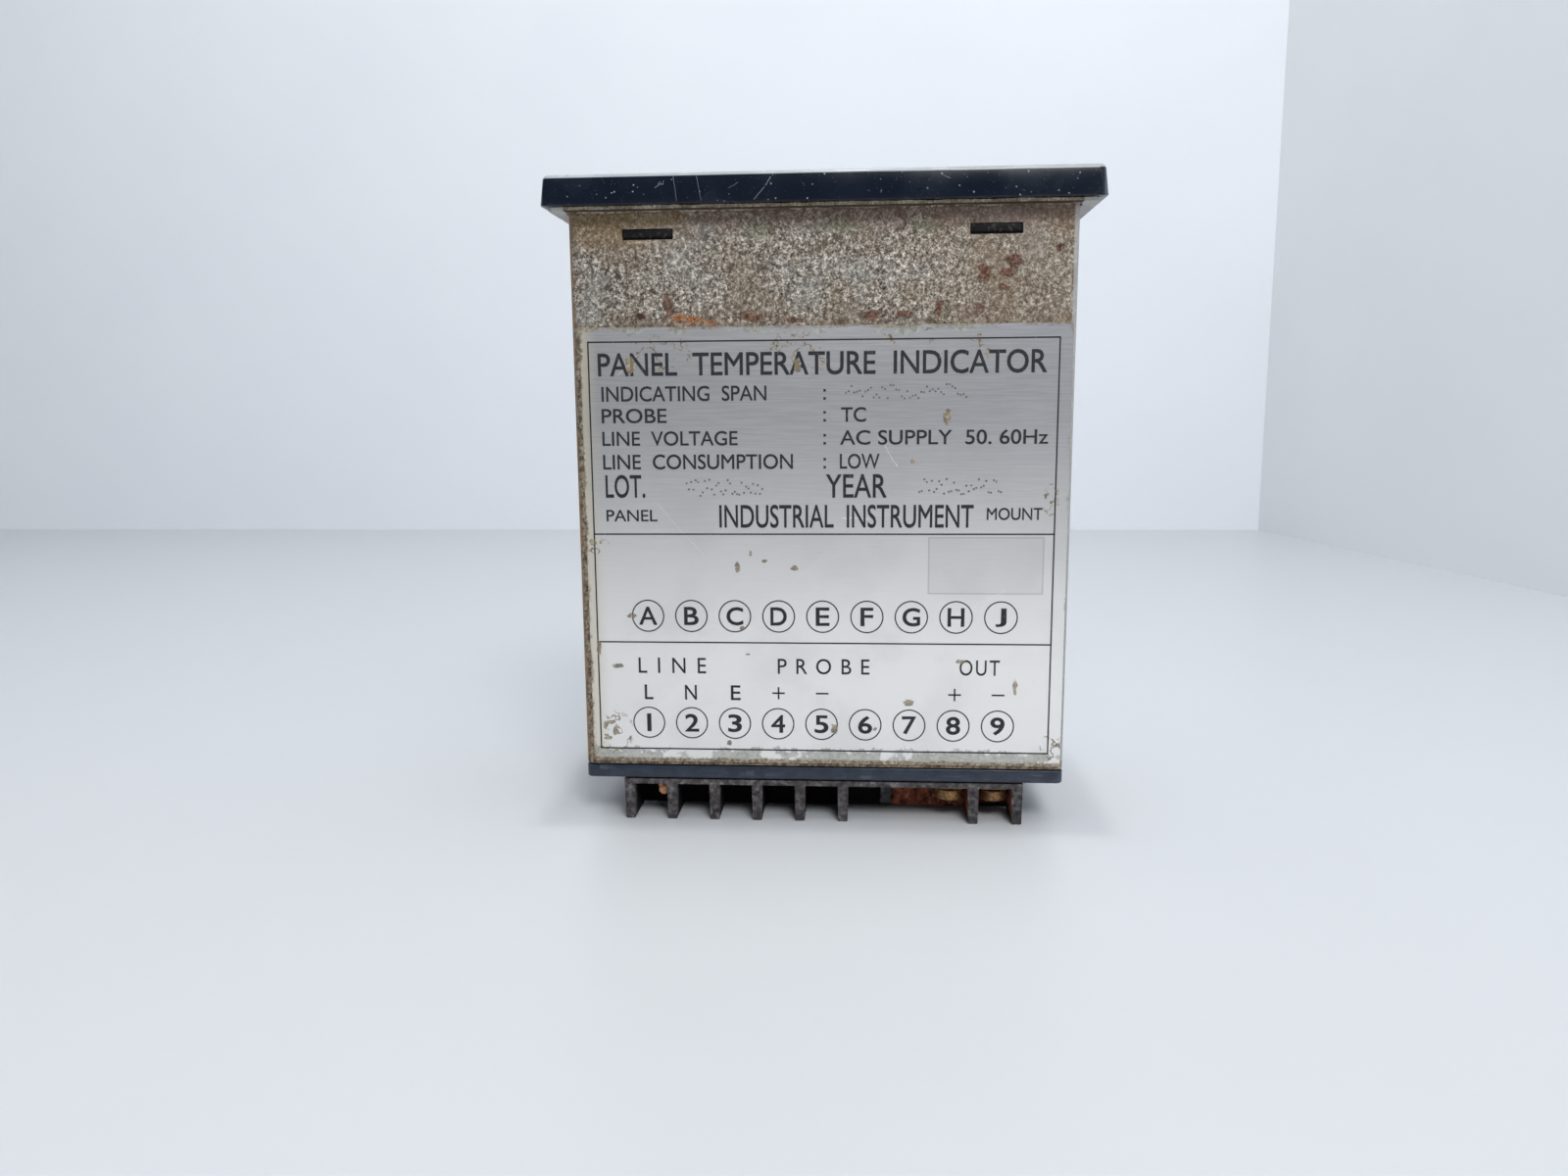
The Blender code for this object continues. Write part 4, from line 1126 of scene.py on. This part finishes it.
class THERMOMETER_OT_plate(bpy.types.Operator):
    """Rating plate with its print, rules and ringed terminal labels"""

    bl_idname = "thermometer.plate"
    bl_label = "Rating plate"

    def execute(self, context):
        style = settings("plate")
        plate = add_slab("rating_sheet", PLATE.low, PLATE.high, corner=0.6, axis=Y, rims=((-1, 0.06, 2),))
        finished(plate, rating_aluminium(), slot="rating_aluminium", stands_for=["rating_plate"])
        ink = printed_ink()
        parts = [add_text("words", style.title, -39.4, 39.1, 82, 86.1, 0.022)]
        parts += [add_text("words", *row) for row in PRINTED_WORDS]
        parts.append(add_text("words", style.maker, -18.2, 27, 55.1, 59.3))
        for z in (77.6, 73.8, 69.8, 65.6):
            for foot in (z + 0.1, z + 1.5):
                low, high = (0.5, PLATE.low.y - PRINT_RISE, foot), (0.95, PLATE.low.y, foot + 0.45)
                parts.append(add_slab("dot", low, high))
        for x, upright in ((-7.8, True), (0.2, False), (24.2, True), (32, False)):
            parts.append(add_line(x - 1, 24.7, x + 1, 24.7, 0.3))
            if upright:
                parts.append(add_line(x, 23.7, x, 25.7, 0.3))
        left, right, low, high = -41.05, 41.15, 13.9, 88
        parts += [add_line(left, z, right, z) for z in (low, 34.1, 54, high)]
        parts += [add_line(x, low, x, high) for x in (left, right)]
        for labels, z, pitch, first in ((FAR_LABELS, 39, 7.975, -31.6), (NEAR_LABELS, 18.9, 7.99, -31.9)):
            for index, label in enumerate(labels):
                x = first + pitch * index
                half = LABEL_HALF_WIDTHS.get(label, 1.3)
                parts.append(add_ring(x, z, 3))
                parts.append(add_text("label", label, x - half, x + half, z - 1.7, z + 1.7, 0.03))
        printed = join(parts)
        printed.name = "plate_print"
        finished(printed, ink, slot="rating_aluminium", smooth=0)
        stamps = []
        rng = random.Random(11)
        start()
        bpy.ops.mesh.primitive_cylinder_add(
            vertices=8, radius=0.2 * MM, depth=PRINT_RISE * MM, rotation=(math.pi / 2, 0, 0))
        dot = bpy.context.object
        apply_place()
        for x0, x1, z0, z1, count in (
                (4.2, 25.6, 77.8, 80.2, 44), (-24.2, -10.2, 60.9, 63.8, 34),
                (17.2, 31.9, 60.9, 63.8, 34)):
            for index in range(count):
                x = x0 + (x1 - x0) * (index + 0.5) / count
                place = (x, PLATE.low.y - PRINT_RISE / 2, rng.uniform(z0, z1))
                stamps.append(copied(dot, "stamp_dot", place))
        bpy.data.objects.remove(dot)
        stamped = join(stamps)
        stamped.name = "plate_stamp"
        finished(stamped, faint_stamp(), slot="rating_aluminium", smooth=0)
        return {"FINISHED"}


class THERMOMETER_OT_cover(bpy.types.Operator):
    """Rear cover: a rounded rim, a step that enters the case, and a window for each terminal block"""

    bl_idname = "thermometer.cover"
    bl_label = "Rear cover"

    def execute(self, context):
        bottom, rim_top, top = COVER.low.z, CASE.low.z - FRAME_GAP, COVER.high.z
        cover = centered_slab(
            "cover_moulding", COVER.size.x, COVER.size.y, bottom, rim_top, corner=1.2, segments=6,
            rims=((-1, 0.3, 3), (1, 0.12, 2)))
        step_width, step_depth = CASE.size.x - INNER_GAP, CASE.size.y - INNER_GAP
        weld(cover, centered_slab("step", step_width, step_depth, rim_top - 1, top, corner=1))
        cut(cover, centered_slab(
            "hollow", step_width - 2.4, step_depth - 2.4, rim_top - 0.2, top + 1, corner=0.6))
        for low, high in ((-18.3, -11.7), (11.7, 18.3)):
            cut(cover, add_slab("window", (-36.8, low, bottom - 1), (36.8, high, top - 1)))
        soften(cover, 0.1, 2)
        finished(cover, blue_black(), slot="cover_plastic", stands_for=["rear_cover"])
        return {"FINISHED"}


def terminal_x(number):
    """Middle of terminal 1, 2, ... along the near row, in millimetres."""
    return (number - 5) * settings("terminal").pitch / MM


def barrier_x(index):
    """Middle of barrier 0, 1, ... along the near row, in millimetres."""
    return (index - 4.5) * settings("terminal").pitch / MM


def terminal_moulding(name, broken):
    """Bar, barriers, back wall and tongue of the row at -Y, with a pocket and a well at each terminal."""
    thick = settings("terminal").barrier / MM
    half = 4.5 * settings("terminal").pitch / MM + thick / 2
    face, back = -20.3, -10.1
    block = add_slab(name, (-half, face, 6.85), (half, back, 7.8))
    weld(block, add_slab("wall", (-half, -11.6, 0.4), (half, back, 7.1)))
    weld(block, add_slab("tongue", (-36.5, -18, 7.4), (36.5, -12, 13)))
    barrier = add_slab("barrier", (-thick / 2, face, 0), (thick / 2, -11, 7.3))
    with Edit(barrier) as edit:
        edit.taper(Z, -1, (0.85, 1, 1), (0, -15.65, 0))
        edit.bevel(rim_of(Z, -1), 0.25, 2)
    whole = [index for index in range(10) if not (broken and index in (6, 7))]
    weld(block, repeated(barrier, [(barrier_x(index), 0, 0) for index in whole]))
    pocket = add_slab("pocket", (-2.95, -19.1, 5.85), (2.95, -12.6, 8.15))
    well = add_rod("well", (0, -15.7), 1.7, 7.6, 14, 24)
    for tool in (pocket, well):
        cut(block, repeated(tool, [(terminal_x(number), 0, 0) for number in range(1, 10)]))
    soften(clean(block), 0.1, 2, 40)
    if broken:
        stub = add_slab("stub", (11.05, -13.5, 1.4), (12.95, -11.3, 7))
        sliver = add_slab("sliver", (20.1, -12.9, 2.4), (20.9, -11.3, 7))
        block = join([block, roughen(stub, 0.14, 4, cuts=3), roughen(sliver, 0.1, 8, cuts=2)])
    return block


class THERMOMETER_OT_blocks(bpy.types.Operator):
    """Near terminal block with two snapped barriers, and the whole far one"""

    bl_idname = "thermometer.blocks"
    bl_label = "Terminal blocks"

    def execute(self, context):
        plastic = {"slot": "terminal_plastic"}
        near_block = terminal_moulding("near_block_moulding", True)
        finished(near_block, aged_moulding(True), **plastic, stands_for=["near_terminal_block"])
        whole = terminal_moulding("whole_block", False)
        far_block = copied(whole, "far_block_moulding", half_turn=True)
        bpy.data.objects.remove(whole)
        finished(far_block, aged_moulding(False), **plastic, stands_for=["far_terminal_block"])
        start()
        bpy.ops.mesh.primitive_ico_sphere_add(
            subdivisions=3, radius=1 * MM, location=Vector((-29.9, -18.2, 5.5)) * MM)
        crumb = bpy.context.object
        crumb.name = "rust_crumb"
        crumb.scale = (0.9, 0.8, 1.25)
        apply_place()
        roughen(crumb, 0.22, 6)
        finished(crumb, rust_crust_and_painted_light(), **plastic, smooth=50)
        return {"FINISHED"}


def screw_shape():
    """Pan head with a cross recess and a threaded shank, head down, about its own axis."""
    head = add_rod("screw", (0, 0), 2.8, 3.55, 5.75, 40)
    with Edit(head) as edit:
        edit.bevel(rim_of(Z, -1), 0.9, 6)
        edit.bevel(rim_of(Z, 1), 0.1, 1)
    for turn in (0, 1):
        size = (1.5, 0.375) if turn else (0.375, 1.5)
        arm = add_slab("arm", (-size[0], -size[1], 3), (size[0], size[1], 4.75))
        with Edit(arm) as edit:
            edit.taper(Z, 1, (0.45, 0.45, 1), (0, 0, 4.75))
        cut(head, arm)
    shank = add_rod("shank", (0, 0), 1.2, 5.6, 11.6, 24)
    with Edit(shank) as edit:
        edit.bevel(rim_of(Z, 1), 0.35, 2)
    start()
    bpy.ops.mesh.primitive_circle_add(
        vertices=3, radius=0.19 * MM, location=(1.22 * MM, 0, 6.1 * MM), rotation=(math.pi / 2, 0, 0))
    thread = bpy.context.object
    apply_place()
    winding = thread.modifiers.new("winding", "SCREW")
    winding.screw_offset = 0.5 * MM
    winding.iterations = 10
    winding.steps = winding.render_steps = 18
    winding.use_merge_vertices = False
    bpy.ops.object.modifier_apply(modifier=winding.name)
    with Edit(thread) as edit:
        edit.pick("EDGE", lambda edge: len(edge.link_faces) == 1)
        bpy.ops.mesh.fill_holes(sides=0)
        edit.pick_all()
        bpy.ops.mesh.normals_make_consistent(inside=False)
    return join([head, shank, thread])


def washer_shape():
    """Square clamp washer with clipped corners, softened edges and a hole, about its own axis."""
    washer = centered_slab("washer", 5.5, 5.5, 6.05, 6.65, corner=0.6, segments=1)
    cut(washer, add_rod("hole", (0, 0), 1.5, 5, 8, 28))
    return soften(washer, 0.08, 2, 40)


class THERMOMETER_OT_screws(bpy.types.Operator):
    """Terminal screws and square clamp washers, each on its own body"""

    bl_idname = "thermometer.screws"
    bl_label = "Screws and washers"

    def execute(self, context):
        screw, washer = screw_shape(), washer_shape()
        shades = {
            "screw": old_brass("screw_brass_aged", settings("terminal").brass, (96, 70, 52)),
            "washer": old_brass("washer_brass_aged", (158, 128, 84), (112, 84, 58)),
        }
        for kind, model in (("screw", screw), ("washer", washer)):
            for node in sorted(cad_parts):
                side, _, rest = node.partition(f"_{kind}_")
                if not rest:
                    continue
                extent = Extent(node)
                place = (extent.center.x, extent.center.y, 0)
                piece = copied(model, f"{side}_detailed_{kind}_{rest}", place)
                finished(piece, shades[kind], body=f"{node}_body", slot=f"{kind}_brass", stands_for=[node])
            bpy.data.objects.remove(model)
        return {"FINISHED"}


class THERMOMETER_OT_inside(bpy.types.Operator):
    """Finishes of the CAD pieces that stay as they are: contacts, boards, display and supply"""

    bl_idname = "thermometer.inside"
    bl_label = "Contacts and inside"

    def execute(self, context):
        brass = old_brass("contact_brass_aged", (150, 120, 78), (92, 72, 54))
        board = circuit_board()
        finishes = {
            "main_board": board, "power_board": board, "display_board": board,
            "display_mask": plain_moulding("matt_black_mask", (16, 16, 18), (26, 26, 28), 0.7),
            "led_display": plain_moulding("display_grey", (44, 46, 50), (58, 60, 64), 0.5),
            "transformer_core": laminated_steel(), "transformer_winding": wound_tape(),
            "smoothing_capacitor": plain_moulding("capacitor_sleeve", (22, 30, 66), (36, 46, 88), 0.3),
            "converter_chip": plain_moulding("chip_black", (22, 22, 24), (38, 38, 40), 0.6),
        }
        for name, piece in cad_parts.items():
            finish = brass if "_contact_" in name else finishes.get(name)
            if finish:
                piece.data.materials.clear()
                piece.data.materials.append(finish)
        return {"FINISHED"}


class THERMOMETER_OT_stage(bpy.types.Operator):
    """Pale floor and walls, soft light and the camera"""

    bl_idname = "thermometer.stage"
    bl_label = "Stage"

    def execute(self, context):
        style = settings("stage")
        bottom, top, near_end, back_wall, side_wall = -6, 2200, -2200, 484, 248.7
        floor = add_slab("floor", (-2500, near_end, bottom), (2500, 900, 0))
        back = add_slab("back_wall", (-2500, back_wall, bottom), (2500, back_wall + 16, top))
        side = add_slab("side_wall", (side_wall, near_end, bottom), (side_wall + 10, back_wall, top))
        with Edit(side) as edit:
            edit.pick_all()
            bpy.ops.transform.rotate(
                value=math.radians(-8.3), orient_axis="Z",
                center_override=(side_wall * MM, back_wall * MM, 0))
        for piece, name, color, roughness in (
                (floor, "pale_floor", style.floor, 0.34), (back, "pale_wall", style.wall, 0.8),
                (side, "pale_side", style.side, 0.8)):
            finish = Finish(name)
            cloud = finish.noise(0.01, 3).step(0.3, 0.7)
            finish.color = finish.mix(cloud * 0.06, color, (190, 200, 214))
            piece.data.materials.append(finish.surface(roughness, Specular_IOR_Level=0.35))
        world = bpy.data.worlds.new("studio")
        context.scene.world = world
        world.use_nodes = True
        sky = world.node_tree.nodes["Background"]
        sky.inputs["Color"].default_value = (0.84, 0.91, 1, 1)
        sky.inputs["Strength"].default_value = 0.15
        for name, place, aim, size, power in (
                ("overhead", (-60, -120, 1000), (0, 60, 0), 1000, 3.9),
                ("ceiling_lamp", (0, -15, 1100), (0, 0, 0), 50, 2.3),
                ("front_fill", (260, -800, 880), (0, 0, 60), 420, 7.6)):
            start()
            bpy.ops.object.light_add(type="AREA", location=Vector(place) * MM)
            lamp = context.object
            lamp.name = name
            lamp.data.shape = "DISK"
            lamp.data.size = size * MM
            lamp.data.energy = power
            lamp.data.color = (1, 0.985, 0.96)
            lamp.rotation_euler = (Vector(aim) - Vector(place)).to_track_quat("-Z", "Y").to_euler()
        start()
        bpy.ops.object.camera_add()
        camera = context.object
        place = Matrix.Translation(Vector((7.4395, -221.462, 76.602)) * MM)
        for degrees, axis in ((4.020, "Z"), (80.858, "X"), (-0.422, "Z")):
            place = place @ Matrix.Rotation(math.radians(degrees), 4, axis)
        camera.matrix_world = place
        camera.data.lens = style.lens
        camera.data.sensor_width = 36
        camera.data.clip_start = 0.01
        camera.data.clip_end = 20
        context.scene.camera = camera
        context.scene.view_settings.view_transform = "Standard"
        return {"FINISHED"}


OPERATORS = (
    THERMOMETER_OT_bezel, THERMOMETER_OT_window, THERMOMETER_OT_digits, THERMOMETER_OT_gasket,
    THERMOMETER_OT_case, THERMOMETER_OT_plate, THERMOMETER_OT_cover, THERMOMETER_OT_blocks,
    THERMOMETER_OT_screws, THERMOMETER_OT_inside, THERMOMETER_OT_stage,
)


class VIEW3D_PT_thermometer(bpy.types.Panel):
    """Sidebar panel with a button for each step and the settings"""

    bl_label = "Thermometer"
    bl_space_type = "VIEW_3D"
    bl_region_type = "UI"
    bl_category = "Thermometer"

    def draw(self, context):
        for operator in OPERATORS:
            self.layout.operator(operator.bl_idname)
        for name, group in GROUPS.items():
            box = self.layout.box()
            box.label(text=name.title())
            for setting in group.__annotations__:
                box.prop(settings(name), setting)


GROUPS = {
    "bezel": BezelSettings, "case": CaseSettings, "plate": PlateSettings, "terminal": TerminalSettings,
    "stage": StageSettings,
}
CLASSES = (*GROUPS.values(), *OPERATORS, VIEW3D_PT_thermometer)


def register():
    for each in CLASSES:
        bpy.utils.register_class(each)
    for name, group in GROUPS.items():
        setattr(bpy.types.Scene, "thermometer_" + name, bpy.props.PointerProperty(type=group))


def unregister():
    for name in GROUPS:
        delattr(bpy.types.Scene, "thermometer_" + name)
    for each in reversed(CLASSES):
        bpy.utils.unregister_class(each)


def main():
    register()
    for operator in OPERATORS:
        step = operator.bl_idname.split(".")[1]
        getattr(bpy.ops.thermometer, step)()


if __name__ == "__main__":
    main()
